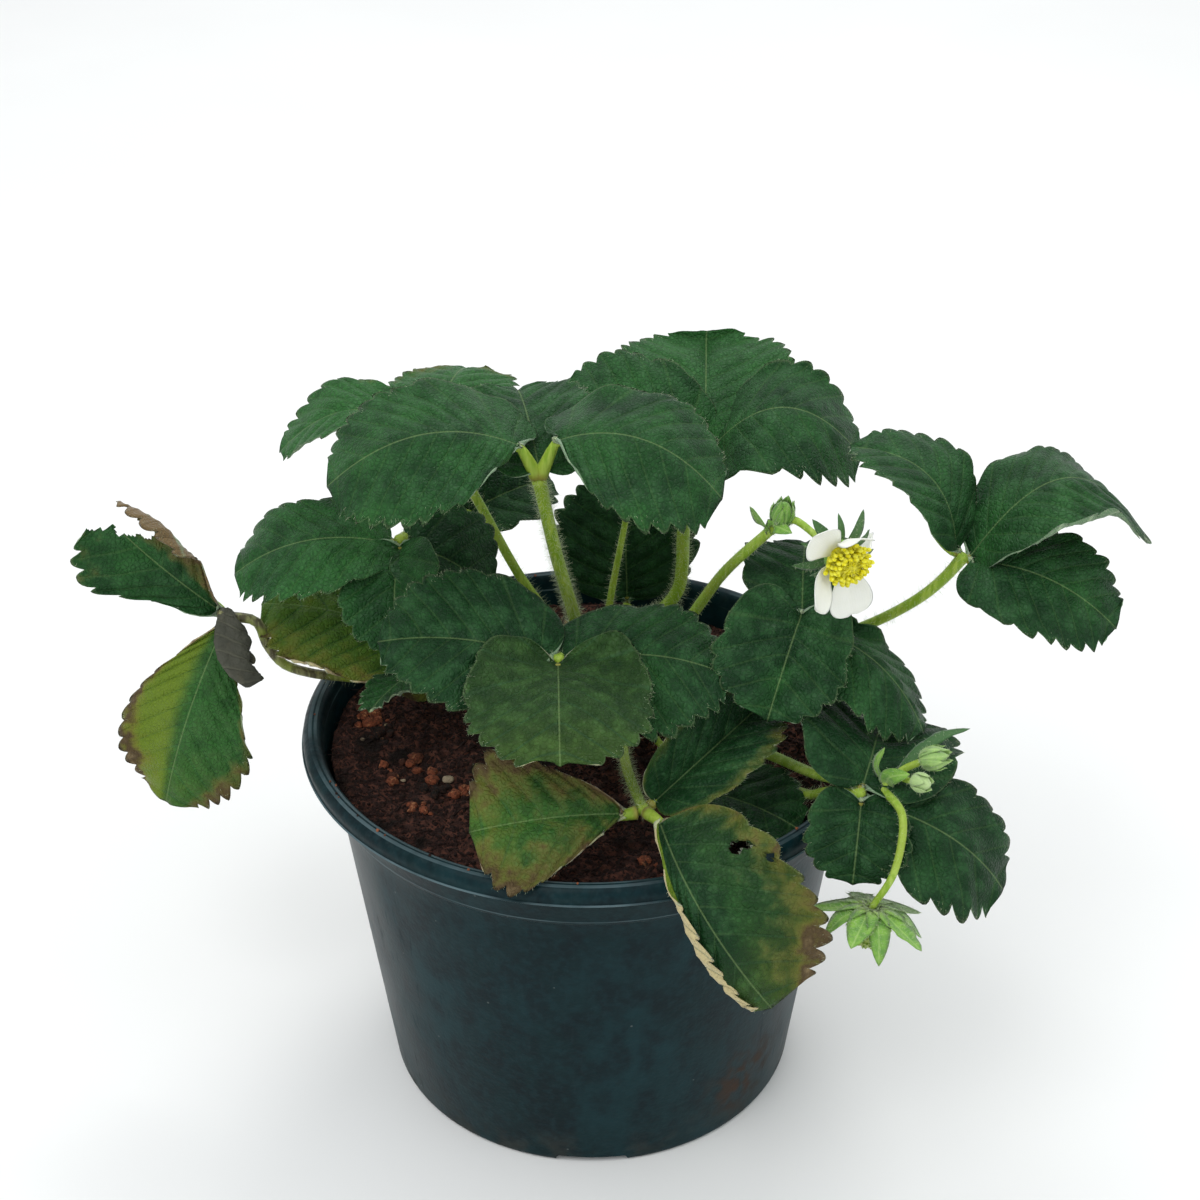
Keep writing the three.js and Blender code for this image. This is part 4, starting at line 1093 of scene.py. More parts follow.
# For each compound leaf: how hairy its stalk is, and how each leaflet looks, as leaf_blade reads it.
LEAVES = {
    "far_left": (0.2, {
        "upper": {"life": (0.10, 0.16, 0.1), "life_right": (0.1, 0.44, 0), "life_tip": (0.1, 0.10, 0),
                  "wave": 2.6, "quilt": 1.2, "holes": [(1.02, 2.0, 6.5), (0.86, 4.0, 4.6), (0.74, 6.5, 2.6)],
                  "rolls": [(1, 0.5, 3.5, 110, 0.45, 1.1)], "lobe": 0.0, "full": 1.15, "widest": 0.74,
                  "coarse": 1.4, "round": 0.8},
        "curled": {"wave": 2.6, "quilt": 1.6, "lobe": 0.0, "rolls": [(-1, 0.35, 3.0, 190, 0.0, 1.1),
                                                                     (1, 0.35, 3.4, 170, 0.0, 1.1)]},
        "lower": {"life": (0.26, 0.12, 0.6), "life_right": (0.52, 0.12, 0.4), "life_edge": (0.0, 0.30, 0),
                  "life_tip": (0.1, 0.1, 0), "wave": 2.0, "quilt": 1.0, "lobe": 0.0, "full": 1.35,
                  "widest": 0.62, "coarse": 1.15},
    }),
    "left": (0.5, {
        "left": {"tone": 0.35, "droop": 3.0, "lobe": 0.12},
        "front": {"tone": 0.15, "cup": 1.0, "lift": 1.6},
        "right": {"tone": -0.15, "lobe": 0.28},
    }),
    "low_left": (0.4, {
        "left": {"life": (0.48, 0.34, 1.1), "quilt": 1.6, "wave": 2.0, "life_edge": (0.12, 0.12, 0.2),
                 "rolls": [(-1, 0.82, 2.4, 150, 0.2, 0.9)]},
        "front": {"life": (0.16, 0.05, 0.2), "quilt": 1.3, "rolls": [(1, 0.55, 4.0, 140, 0.1, 0.9)]},
    }),
    "front": (0.6, {
        "left": {"tone": -0.3, "quilt": 1.2, "lobe": (0.0, 0.24),
                 "lift": (-3, 0.4), "sink": (7, 0)},
        "right": {"tone": -0.15, "quilt": 1.2, "lobe": (0.24, 0.0),
                  "lift": (0.4, -3), "sink": (0, 7)},
        "near": {"life": (0.29, 0.0, -0.9), "life_tip": (0.06, 0.0, 0.3), "quilt": 1.2, "droop": 2.5,
                 "lobe": 0.24, "lift": 11.4, "wide": 1.06},
    }),
    "middle": (1.8, {
        "left": {"tone": 0.25, "droop": 2.0, "wave": 1.4, "bare": 1.0, "stem": 2.1,
                 "lobe": (-0.04, 0.30), "lift": 1.2},
        "right": {"tone": 0.15, "droop": 2.0, "wave": 1.4, "bare": 1.0, "stem": 2.1,
                  "lobe": (0.30, -0.04), "lift": 1.2},
        "back": {"tone": 0.1, "lobe": 0.26},
    }),
    "back_left": (0.5, {
        "left": {"life": (0.0, 0.12, 1.3), "wave": 1.3, "lobe": 0.1},
        "back": {"life": (0.0, 0.10, 1.2), "life_tip": (0.05, 0.34, 0), "wave": 1.3},
    }),
    "back_right": (1.5, {
        "back": {"tone": 0.45, "curl": (0.82, 6.0, 110), "life_tip": (0.05, 0.08, 0), "lobe": 0.26},
        "left": {"tone": 0.25, "lobe": 0.24, "lift": 1.6},
        "right": {"tone": 0.0, "rolls": [(-1, 0.86, 2.5, 60, 0.2, 0.8)], "lobe": 0.24},
    }),
    "far_right": (0.6, {
        "left": {"tone": 0.05, "wave": 1.6, "lobe": 0.1},
        "back": {"tone": 0.1, "wave": 1.6, "rolls": [(1, 0.80, 3.0, 85, 0.1, 0.6)], "lobe": 0.1},
        "front": {"tone": -0.1, "wave": 1.5, "lobe": 0.18},
    }),
    "right": (0.5, {
        "near": {"tone": -0.15, "quilt": 1.4, "lobe": 0.36, "lift": 1.6, "coarse": 1.1},
        "right": {"tone": -0.05, "coarse": 1.1, "rolls": [(-1, 0.72, 2.0, 150, 0.0, 0.35)]},
        "back": {"tone": -0.25, "wide": 1.15, "coarse": 1.1},
    }),
    "low_right": (0.5, {
        "near": {"tone": -0.5, "quilt": 1.2, "wave": 1.6, "coarse": 1.35, "round": 0.85,
                 "lobe": 0.34, "lift": 1.6},
        "right": {"tone": -0.3, "quilt": 1.2, "wave": 1.8, "coarse": 1.35, "round": 0.85,
                  "lobe": 0.26},
        "back": {"tone": -0.45, "wave": 1.6, "coarse": 1.35, "round": 0.85, "wide": 1.35,
                 "lobe": 0.26},
    }),
    "low_front": (1.7, {
        "left": {"life": (0.32, 0.50, 0.4), "life_tip": (0.10, 0.0, 0.4), "life_edge": (0.06, 0.04, 0.2),
                 "wave": 1.8, "lobe": 0.0, "full": 1.25, "widest": 0.78, "round": 0.5,
                 "bare": 1.0, "stem": 1.9},
        "hanging": {"life": (0.17, 0.14, -0.5), "life_left": (0.08, 0.14, 0.2),
                    "life_edge": (0.18, 0.14, 0.1), "life_tip": (0.14, 0.18, 0), "quilt": 1.0, "wave": 1.8,
                    "rim": 1, "coarse": 1.2,
                    "round": 0.5, "full": 3.2, "widest": 0.70, "lobe": 0.12,
                    "life_rim": (0.95, -0.35, 0.6), "rolls": [(1, 0.66, 0.5, 180, 0.36, 1.2)],
                    "slim": 0.95, "lift": (0.8, 2.0), "bare": 0.6, "stem": 1.8,
                    "holes": [(0.29, -15.4, 1.7), (0.31, -18.2, 1.3), (0.41, -21.8, 1.3)]},
        "folded": {"life": (0.10, 0.20, -0.45), "life_edge": (0.25, 0.12, 0.4), "wave": 1.6, "round": 0.5,
                   "bare": 0.6, "stem": 1.6},
    }),
    "shaded_back": (0.4, {
        "upright": {"tone": -0.3, "quilt": 1.2, "lobe": 0.1},
    }),
}


class OBJECT_OT_strawberry_leaves(bpy.types.Operator):
    """Build the twelve compound leaves: a stalk and its leaflets each"""
    bl_idname = "object.strawberry_leaves"
    bl_label = "Compound leaves"

    def execute(self, context):
        seed = 0
        down = settings("hair")
        margins = []
        for name, (hair, leaflets) in LEAVES.items():
            node = "leaf_stalk_" + name
            line, radius = stalk_line(node)
            old = name == "far_left"
            path = spline(line, 48)
            head = line[-1]
            stalk = Skin()
            run = np.linspace(0, 1, 48)
            swell = 1 + 0.55 * np.exp(-run * 14) + 0.22 * np.exp(-(1 - run) * 30)
            stalk.tube(path, radius * 0.93 * swell, 14, 0, hair=hair, groove=0.24)
            # Two papery stipules clasp the foot.
            for way in (-1, 1):
                out = unit(path[6] - path[0])
                aside = unit(np.cross(out, UP)) * way
                strip = spline([path[0] + aside * 1.0, path[3] + aside * 2.4, path[7] + aside * 3.4], 8)
                pointed(stalk, strip, 2.4, aside, 1, bend=0.5)
            slot = "dark_stalk" if old else "stalk"
            stalk.to_object(node, ["dark stalk" if old else "stalk", "crown"], slot, [node])
            downy(node, [stalk], down.stalk / MM, 1.5, seed + 3, shortest=0.35, spread=0.45)
            for part, look in leaflets.items():
                seed += 1
                blade = "leaflet_" + name + "_" + part
                slot = "leaf"
                if name in OLD_LEAVES:
                    slot = "old_leaf"
                if part == "curled":
                    slot = "dry_leaf"
                margins.append(leaflet(blade, head, look, seed, slot))
        downy("leaflet_margins", margins, down.margin / MM, 1.0, 5, thin=0.75)
        return {"FINISHED"}


def pointed(skin, path, half_width, facing, slot, bend=0.15, life=(0, 0, 0), hair=0.0, teeth=0.0,
            columns=5, thick=0.3, widest=0.4):
    """A narrow pointed blade along a path, such as a sepal or a bract, a little cupped."""
    path = np.asarray(path, float)
    n = len(path)
    t = np.linspace(0, 1, n)
    width = np.where(t < widest, 0.62 + 0.38 * np.sin(t / widest * math.pi / 2),
                     np.cos((t - widest) / (1 - widest) * math.pi / 2) ** 0.75)
    width = half_width * np.maximum(width, 0.03) * (1 + teeth * np.sin(t * 22) * ease(0.2, 0.5, t))
    along = np.gradient(path, axis=0)
    s = np.linspace(-1, 1, columns)
    rows, leans = [], []
    for p, way, w in zip(path, along, width):
        way = unit(way)
        up = unit(np.asarray(facing, float) - way * way.dot(facing))
        aside = np.cross(way, up)
        rows.append([p + aside * w * k + up * bend * w * k * k for k in s])
        leans.append([aside * k + up * 0.6 + way * 0.2 for k in s])
    mark = np.stack(np.broadcast_arrays(t[:, None], np.abs(s)[None] * width[:, None], np.abs(s)[None]), -1)
    edge = hair * np.ones((n, columns))
    skin.sheet(np.array(rows), facing, thick, (slot, slot), blade=mark, life=life, lean=np.array(leans),
               hair=edge)


# Leaves whose stalk and blade are one CAD solid: where the stalk runs, and where its blade lies.
SINGLE_LEAVES = {
    "low_inner_leaf": {
        "foot": (298, 8), "bends": [(20, -8, 107)], "head": (26, -28, 108), "radius": 1.2,
        "tip": (54.5, -45.5, 109), "width": 29, "face": (0, -1, 9), "fold": 0, "arch": 2, "hair": 0.4,
        "look": {"tone": -0.4, "life_edge": (0.1, 0.0, 0.3)},
    },
    "shaded_left_leaf": {
        "foot": (122, 12), "bends": [(-20, 46, 114), (-34, 57, 124)], "head": (-38, 62, 141), "radius": 1.2,
        "tip": (-12, 76, 147), "width": 26, "face": (1, -5, 8), "fold": 14, "arch": 3, "hair": 0.4,
        "look": {"tone": -0.4},
    },
    "young_leaf": {
        "foot": (60, 82), "bends": [(6, 28, 134), (10, 28, 158)], "head": (11, 27, 166), "radius": 1.1,
        "tip": (5, 19, 180), "width": 14, "face": (4, -6, 3), "fold": 50, "arch": 1, "hair": 1.0,
        "look": {"life": (0.1, 0.0, 0.5), "quilt": 1.3},
    },
}


def stalk_foot(degrees, lift):
    """The first two points of a stalk that leaves the crown that way round and that far up."""
    low, high = (np.array(corner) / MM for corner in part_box("crown"))
    centre = np.array([(low[0] + high[0]) / 2, (low[1] + high[1]) / 2, low[2]])
    turn, rise = math.radians(degrees), math.radians(lift)
    out = np.array([math.cos(turn) * math.cos(rise), math.sin(turn) * math.cos(rise), math.sin(rise)])
    surface = centre + out * [(high[0] - low[0]) / 2, (high[1] - low[1]) / 2, high[2] - low[2]]
    return [surface + 0.35 * out, surface + 7 * out]


class OBJECT_OT_strawberry_single_leaves(bpy.types.Operator):
    """Build the three small leaves whose stalk and blade are one piece"""
    bl_idname = "object.strawberry_single_leaves"
    bl_label = "Small leaves"

    def execute(self, context):
        down = settings("hair")
        for seed, (node, it) in enumerate(SINGLE_LEAVES.items(), start=60):
            head, tip = np.array(it["head"], float), np.array(it["tip"], float)
            along = unit(tip - head)
            face = np.array(it["face"], float)
            up = unit(face - along * face.dot(along))
            across = np.cross(along, up)
            fold = math.radians(it["fold"])
            ways = {s: (s * across * math.cos(fold) + up * math.sin(fold)) * it["width"] / 2
                    for s in (-1, 1)}
            skin = Skin()
            skin.stem([*stalk_foot(*it["foot"]), *it["bends"], head, head + along * 3], 40, it["radius"],
                      it["radius"] * 0.75, 12, 2, hair=it["hair"], groove=0.2)
            start = head + along * 0.5
            place = {"foot": head, "start": start, "tip": tip, "up": up, "arch": it["arch"], "sides": ways}
            leaf_blade(skin, place, it["look"], seed)
            skin.to_object(node, ["upper", "under", "stalk"], "leaf", [node])
            downy(node, [skin], down.stalk / MM * 0.8, 1.6, seed, shortest=0.35, spread=0.45)
        return {"FINISHED"}


# ---------------------------------------------------------------- flower, trusses and fruit

BUD_PROFILE = [(0, -4.2), (1.3, -4.0), (2.3, -3.4), (3.1, -2.0), (3.3, -0.6), (3.0, 1.0), (2.2, 2.6),
               (1.3, 3.9), (0, 4.6)]
FLOWER_PLACE = np.array([64.2, -27.0, 178.6])
PETAL_FACE = np.array([3.0, -8.0, -1.0])  # the way the open flower looks
FRUIT_PLACE = np.array([71.0, -74.0, 102.0])
FRUIT_AXIS = np.array([-1.0, -2.0, -9.0])  # the young fruit hangs and points this way


def closed_bud(skin, place, axis, seed, scale=0.82, life=(0, 0, 0.2)):
    """A closed bud: pale petals in a tight point, clasped by five sepals and five bracts."""
    place = round_axis(place, axis, 0, 0, -4.0 * (1 - scale))
    rng = np.random.default_rng(seed)
    skin.lathe([(r * scale, d * scale) for r, d in BUD_PROFILE], place, axis, 14, 1, hair=0.3, life=life)
    for ring, (reach, width, flare, first) in enumerate(((9.4, 2.6, 0.9, 0), (7.6, 1.6, 2.6, 36))):
        for k in range(5):
            angle = first + 72 * k + rng.uniform(-6, 6)
            over = 0.25 + 0.2 * ring
            spots = [(0.6, -4.5), (2.6 + over, -3.3), (3.5 + over, -0.8), (3.1 + over + 0.25 * flare, 1.6),
                     (2.2 + 0.5 * flare, 3.6), (1.1 + flare, reach - 3.4)]
            path = spline([round_axis(place, axis, angle, r * scale, d * scale) for r, d in spots], 10)
            out, right, up = axes_round(axis)
            turn = math.radians(angle)
            facing = right * math.cos(turn) + up * math.sin(turn) + 0.25 * out
            pointed(skin, path, width * scale, facing, 1, bend=-0.25, life=life, hair=0.6)


# Each petal: its angle round the flower, how far it stands forward of flat, its length and its width.
PETALS = ((-78, 6, 14.5, 14.5), (-148, 52, 13.5, 11.0), (133, 26, 15.5, 13.0), (92, 54, 12.0, 11.0),
          (-22, -66, 13.0, 12.5))


def petal_blade(skin, place, axis, angle, tilt, length, width, seed):
    """A broad round petal with a short claw, standing out from under the stamens."""
    out, right, up = axes_round(axis)
    turn, lift = math.radians(angle), math.radians(tilt)
    away = right * math.cos(turn) + up * math.sin(turn)
    aside = np.cross(out, away)
    a = np.linspace(0, 1, 27)[:, None]
    s = np.linspace(-1, 1, 19)[None]
    t = (1 - np.cos(math.pi * a)) / 2
    full = np.sqrt(np.clip(1 - (2 * t - 1) ** 2, 0, 1)) ** 0.78 * (0.50 + 0.56 * t)
    share = np.maximum(full, 0.16 * ease(0.5, 0.0, t) + 0.03)
    x = s * width / 2 * share
    y = length * (t + 0.01) * np.ones(s.shape)
    # The petal leaves the cup flat, and bends to its tilt within the first third.
    bend = lift * ease(0, 0.35, t)
    gap = np.diff(y[:, :1], axis=0, prepend=0)
    run = np.cumsum(gap * np.cos(bend), axis=0)
    rise = np.cumsum(gap * np.sin(bend), axis=0)
    z = 0.4 * ripple(x, y, seed, 9) * ease(0.2, 1, np.abs(s)) * ease(0.1, 0.5, t)
    z = z + 1.1 * s ** 2 * share - 0.25 * np.exp(-(x / 1.1) ** 2)
    normal = -away * np.sin(bend)[..., None] + out * np.cos(bend)[..., None]
    grid = (place + away * (3.6 + run)[..., None] + out * (0.9 + rise)[..., None]
            + aside * x[..., None] + normal * z[..., None])
    mark = np.stack(np.broadcast_arrays(t, s * 9 * np.ones(t.shape), np.abs(s)), axis=-1)
    skin.sheet(grid, out, 0.3, (0, 0), blade=mark)


class OBJECT_OT_strawberry_trusses(bpy.types.Operator):
    """Build the two flower trusses: a main stalk, a side stalk, a closed bud and bracts each"""
    bl_idname = "object.strawberry_trusses"
    bl_label = "Trusses"

    def execute(self, context):
        flower_back = round_axis(middle_of("flower_centre"), PETAL_FACE, 0, 0, -3.6)
        skin = Skin()
        skin.stem([*stalk_foot(8, 52), (25, 12, 133), (36, 0, 158), (47, -12, 178)], 50, 1.75, 1.35, 12,
                  hair=0.9, groove=0.15)
        skin.stem([(47, -12, 178), (50.5, -13.5, 181), (54, -15, 182),
                   round_axis(middle_of("flower_centre"), PETAL_FACE, 0, 0, -8), flower_back], 22, 1.1, 0.85)
        skin.stem([(47, -12, 177.6), (48.6, -12.4, 179.2), (49.6, -12.8, 180.4)], 8, 1.2, 1.0)
        closed_bud(skin, (50, -13, 184), (1, -1, 6), 3)
        # The bract at the fork.
        for way, tip in (((-1, -0.4, 0.2), (41.5, -11, 184.5)), ((0.6, -1, 0.3), (52, -19, 181))):
            pointed(skin, spline([(47, -12, 177.5), (46 + 1.5 * way[0], -12 + 1.5 * way[1], 180.5), tip], 9),
                    2.2, way, 1, hair=0.8)
        skin.to_object("flower_truss_stalk", ["truss", "sepal"], "stalk", ["flower_truss_stalk"])
        downy("flower_truss", [skin], 1.1, 1.0, 21)

        skin = Skin()
        node = np.array([75.0, -50.0, 123.5])
        skin.stem([*stalk_foot(334, 26), (36.4, -9, 110.5), (48.8, -20, 112.6), (61, -35, 116.5), node], 60,
                  1.75, 1.3, 12, hair=0.9, groove=0.15)
        fruit_top = round_axis(FRUIT_PLACE, FRUIT_AXIS, 0, 0, -1.4)
        skin.stem([node, (79, -62, 123), (76.5, -72, 114), fruit_top], 30, 1.15, 0.9)
        skin.stem([node, (80, -50, 129), (84.6, -50.3, 131.9)], 12, 1.1, 0.95)
        closed_bud(skin, (88, -51, 133.5), (3, -1, 1.2), 5, life=(0.35, 0, 0))
        # A leafy bract and two small ones stand at the fork, where a second tight bud sits.
        pointed(skin, spline([(79, -50, 128), (84, -48.5, 133.5), (90, -47, 137.5), (97, -46, 139)], 14),
                1.7, (0, -0.5, 1), 1, hair=0.5, teeth=0.12, life=(0, 0, 0.95))
        pointed(skin, spline([(76, -50, 124), (76.5, -53, 129), (81, -56, 132)], 10), 2.4, (-0.3, -1, 0.6), 1,
                hair=0.8)
        pointed(skin, spline([(76, -50, 124.5), (73.5, -48, 129), (75.5, -47, 134)], 10), 2.0,
                (-1, -0.3, 0.2), 1, hair=0.8)
        place, axis = (83.6, -57.6, 130.6), (2, -2.4, 1)
        skin.stem([(79, -50.5, 127.6), (80.5, -53.5, 128.5), (82, -55.5, 129.5)], 8, 0.8, 0.8, 8, hair=0.8)
        skin.lathe([(r * 0.7, d * 0.7) for r, d in BUD_PROFILE], place, axis, 12, 1, hair=0.4,
                   life=(0.9, 0, 0))
        for k in range(5):
            spots = ((0.5, -3), (2.3, -1.6), (2.6, 0.4), (1.9, 3.0))
            pointed(skin, spline([round_axis(place, axis, 72 * k, r, d) for r, d in spots], 8), 1.7,
                    round_axis((0, 0, 0), axis, 72 * k, 1, 0), 1, bend=-0.25, hair=0.4, life=(0.7, 0, 0))
        skin.to_object("fruit_truss_stalk", ["truss", "sepal"], "stalk", ["fruit_truss_stalk"])
        downy("fruit_truss", [skin], 1.0, 0.9, 22)
        return {"FINISHED"}


class OBJECT_OT_strawberry_flower(bpy.types.Operator):
    """Build the open flower: its calyx, five petals, and a dome of pistils in a ring of stamens"""
    bl_idname = "object.strawberry_flower"
    bl_label = "Flower"

    def execute(self, context):
        flower = settings("flower")
        place, axis = FLOWER_PLACE, PETAL_FACE
        out = unit(axis)

        calyx = Skin()
        calyx.lathe([(0, -3.4), (1.6, -3.3), (3.6, -2.5), (4.7, -1.0), (4.4, -0.2), (0, 0.1)], place, axis,
                    24, 0, hair=0.8)
        for ring, (reach, width, first) in enumerate(((12.2, 3.1, 0), (10.2, 1.9, 36))):
            for k in range(5):
                angle = -90 + first + 72 * k
                spots = [(2.5, -1.6), (5.0, -1.5 - 0.5 * ring), (8.0, -2.3 - 0.8 * ring), (reach, -5.0)]
                path = spline([round_axis(place, axis, angle, r, d) for r, d in spots], 12)
                pointed(calyx, path, width * 0.54, out, 0, bend=0.2, hair=0.6, life=(0, 0, 0.9))
        calyx.to_object("flower_calyx", ["sepal"], "young_green", ["flower_calyx"])
        downy("flower_calyx", [calyx], 1.3, 1.6, 31)

        for k, (angle, tilt, length, width) in enumerate(PETALS, start=1):
            petal = Skin()
            petal_blade(petal, place, axis, angle, tilt, length, width, 400 + k)
            petal.to_object(f"petal_{k}", ["petal"], "petal", [f"petal_{k}"])

        centre = Skin()
        dome = [(0, -0.2), (4.4, 0.0), (4.9, 0.8), (4.3, 1.9), (3.6, 2.6), (3.4, 3.2), (2.9, 4.2), (1.9, 5.0),
                (0.9, 5.3), (0, 5.4)]
        centre.lathe(dome, place, axis, 28, 0, hair=1.0, life=(0, 0, 0.3))
        rng = np.random.default_rng(12)
        for k in range(flower.stamens):
            ring = k % 4
            angle = 360 * k / flower.stamens + rng.uniform(-5, 5)
            reach = 3.3 + 0.75 * ring + rng.uniform(-0.3, 0.4)
            height = 5.0 - 0.62 * ring + rng.uniform(-0.5, 0.5)
            foot = round_axis(place, axis, angle, 3.2 + 0.3 * ring, 1.2)
            top = round_axis(place, axis, angle, reach, height)
            centre.tube(spline([foot, round_axis(place, axis, angle, reach, 0.8 + height / 2), top], 5),
                        0.24, 5, 0, life=(0, 0, 0.4))
            sway = unit(top - foot)
            centre.tube([top - sway * 0.4, top + sway * 0.2, top + sway * 0.9, top + sway * 1.3],
                        [0.36, 0.68, 0.68, 0.36], 7, 0, squash=0.75)
        centre.to_object("flower_centre", ["pollen"], "flower_centre", ["flower_centre"])
        dome_only = Skin()
        dome_only.lathe(dome[4:], place, axis, 28, 0, hair=1.0)
        pistil = Skin()
        pistil.tube([(0, 0, -0.1), (0, 0, 0.35), (0, 0, 0.75), (0, 0, 1.0)], [0.26, 0.16, 0.13, 0.2], 5)
        scattered("pistils", [dome_only], pistil.to_object("pistil", ["pollen"]), flower.pistils,
                  (0.8, 0.8, 0.8), (1.2, 1.2, 1.3), 0.15, "pollen", seed=8)
        return {"FINISHED"}


class OBJECT_OT_strawberry_fruit(bpy.types.Operator):
    """Build the young fruit under its ten-pointed calyx"""
    bl_idname = "object.strawberry_fruit"
    bl_label = "Young fruit"

    def execute(self, context):
        place, axis = FRUIT_PLACE, FRUIT_AXIS
        out = unit(axis)
        rng = np.random.default_rng(41)
        fruit = Skin()
        fruit.lathe([(0, -1.4), (1.4, -1.2), (3.2, -0.6), (5.0, 0.8), (5.5, 2.4), (5.1, 4.6), (3.8, 7.0),
                     (2.0, 8.8), (0.9, 9.4), (0, 9.6)], place, axis, 28, 0, hair=1.0, wobble=0.04, seed=4,
                    life=(0, 0, 0.15))
        for ring, (reach, droop, width, first) in enumerate(((16.5, 3.5, 3.6, 8), (13.5, 8, 3.0, 44))):
            for k in range(5):
                angle = first + 72 * k + rng.uniform(-5, 5)
                long = reach * rng.uniform(0.94, 1.02)
                fall = droop * rng.uniform(0.5, 1.1)
                spots = [(1.2, -1.5 - 0.2 * ring), (4.6, -1.2), (9.0, 0.15 * fall), (long, fall)]
                path = spline([round_axis(place, axis, angle, r, d) for r, d in spots], 14)
                teeth = 0.18 if ring == 0 and k in (1, 3) else 0.0
                pointed(fruit, path, width, -out, 1, bend=0.2, hair=0.9, life=(0, 0.0, 0.1 * ring),
                        teeth=teeth)
        fruit.to_object("young_fruit", ["fruit", "sepal"], "young_green", ["young_fruit"])
        seed_shape = Skin()
        seed_shape.lathe([(0, -0.2), (0.32, 0.0), (0.34, 0.25), (0.12, 0.6), (0, 0.7)], (0, 0, 0),
                         (0, 0, 1), 6)
        body = Skin()
        body.lathe([(0, 1.4), (5.3, 1.9), (5.3, 3.6), (4.4, 6.2), (2.6, 8.4), (0, 9.5)], place, axis, 28, 0,
                   hair=1.0)
        scattered("achenes", [body], seed_shape.to_object("achene", ["fruit"]), 0.65, (0.9, 0.9, 0.9),
                  (1.2, 1.2, 1.2), 0.05, "fruit", seed=9, sink=0.1)
        downy("young_fruit", [fruit], 1.4, 1.2, 32)
        return {"FINISHED"}


# ---------------------------------------------------------------- pot, potting mix and crown

POT = {"height": 113.6, "collar": 75.6, "ledge": 73.2, "ledge_height": 98.0, "step": 1.8, "base": 59.0,
       "floor": 4.4, "foot": 1.6, "bead": 109.0}
DRAIN = {"inner_end": 24.0, "width": 20.0, "depth": 2.2, "hole": 4.0, "from_centre": 46.0}
CLEARANCE = 0.5  # between the potting mix and the wall
MIX_HEIGHT = 103  # of the mix's even parts
CROWN_SEAT = (3, 26)  # where the mix is kept level for the crown
SCALE_ROOM = 0.9  # left round the crown's body for its scales


def wall_radius(z):
    """Outside of the wall under the ledge."""
    return POT["base"] + (POT["ledge"] - POT["step"] - POT["base"]) * z / POT["ledge_height"]


def cut(target, tool):
    """Takes a tool's shape out of an object's mesh."""
    modifier = target.modifiers.new("Cut", "BOOLEAN")
    modifier.object = tool
    modifier.operation = "DIFFERENCE"
    modifier.solver = "EXACT"
    graph = bpy.context.evaluated_depsgraph_get()
    mesh = bpy.data.meshes.new_from_object(target.evaluated_get(graph))
    target.modifiers.clear()
    target.data = mesh
    bpy.data.objects.remove(tool)


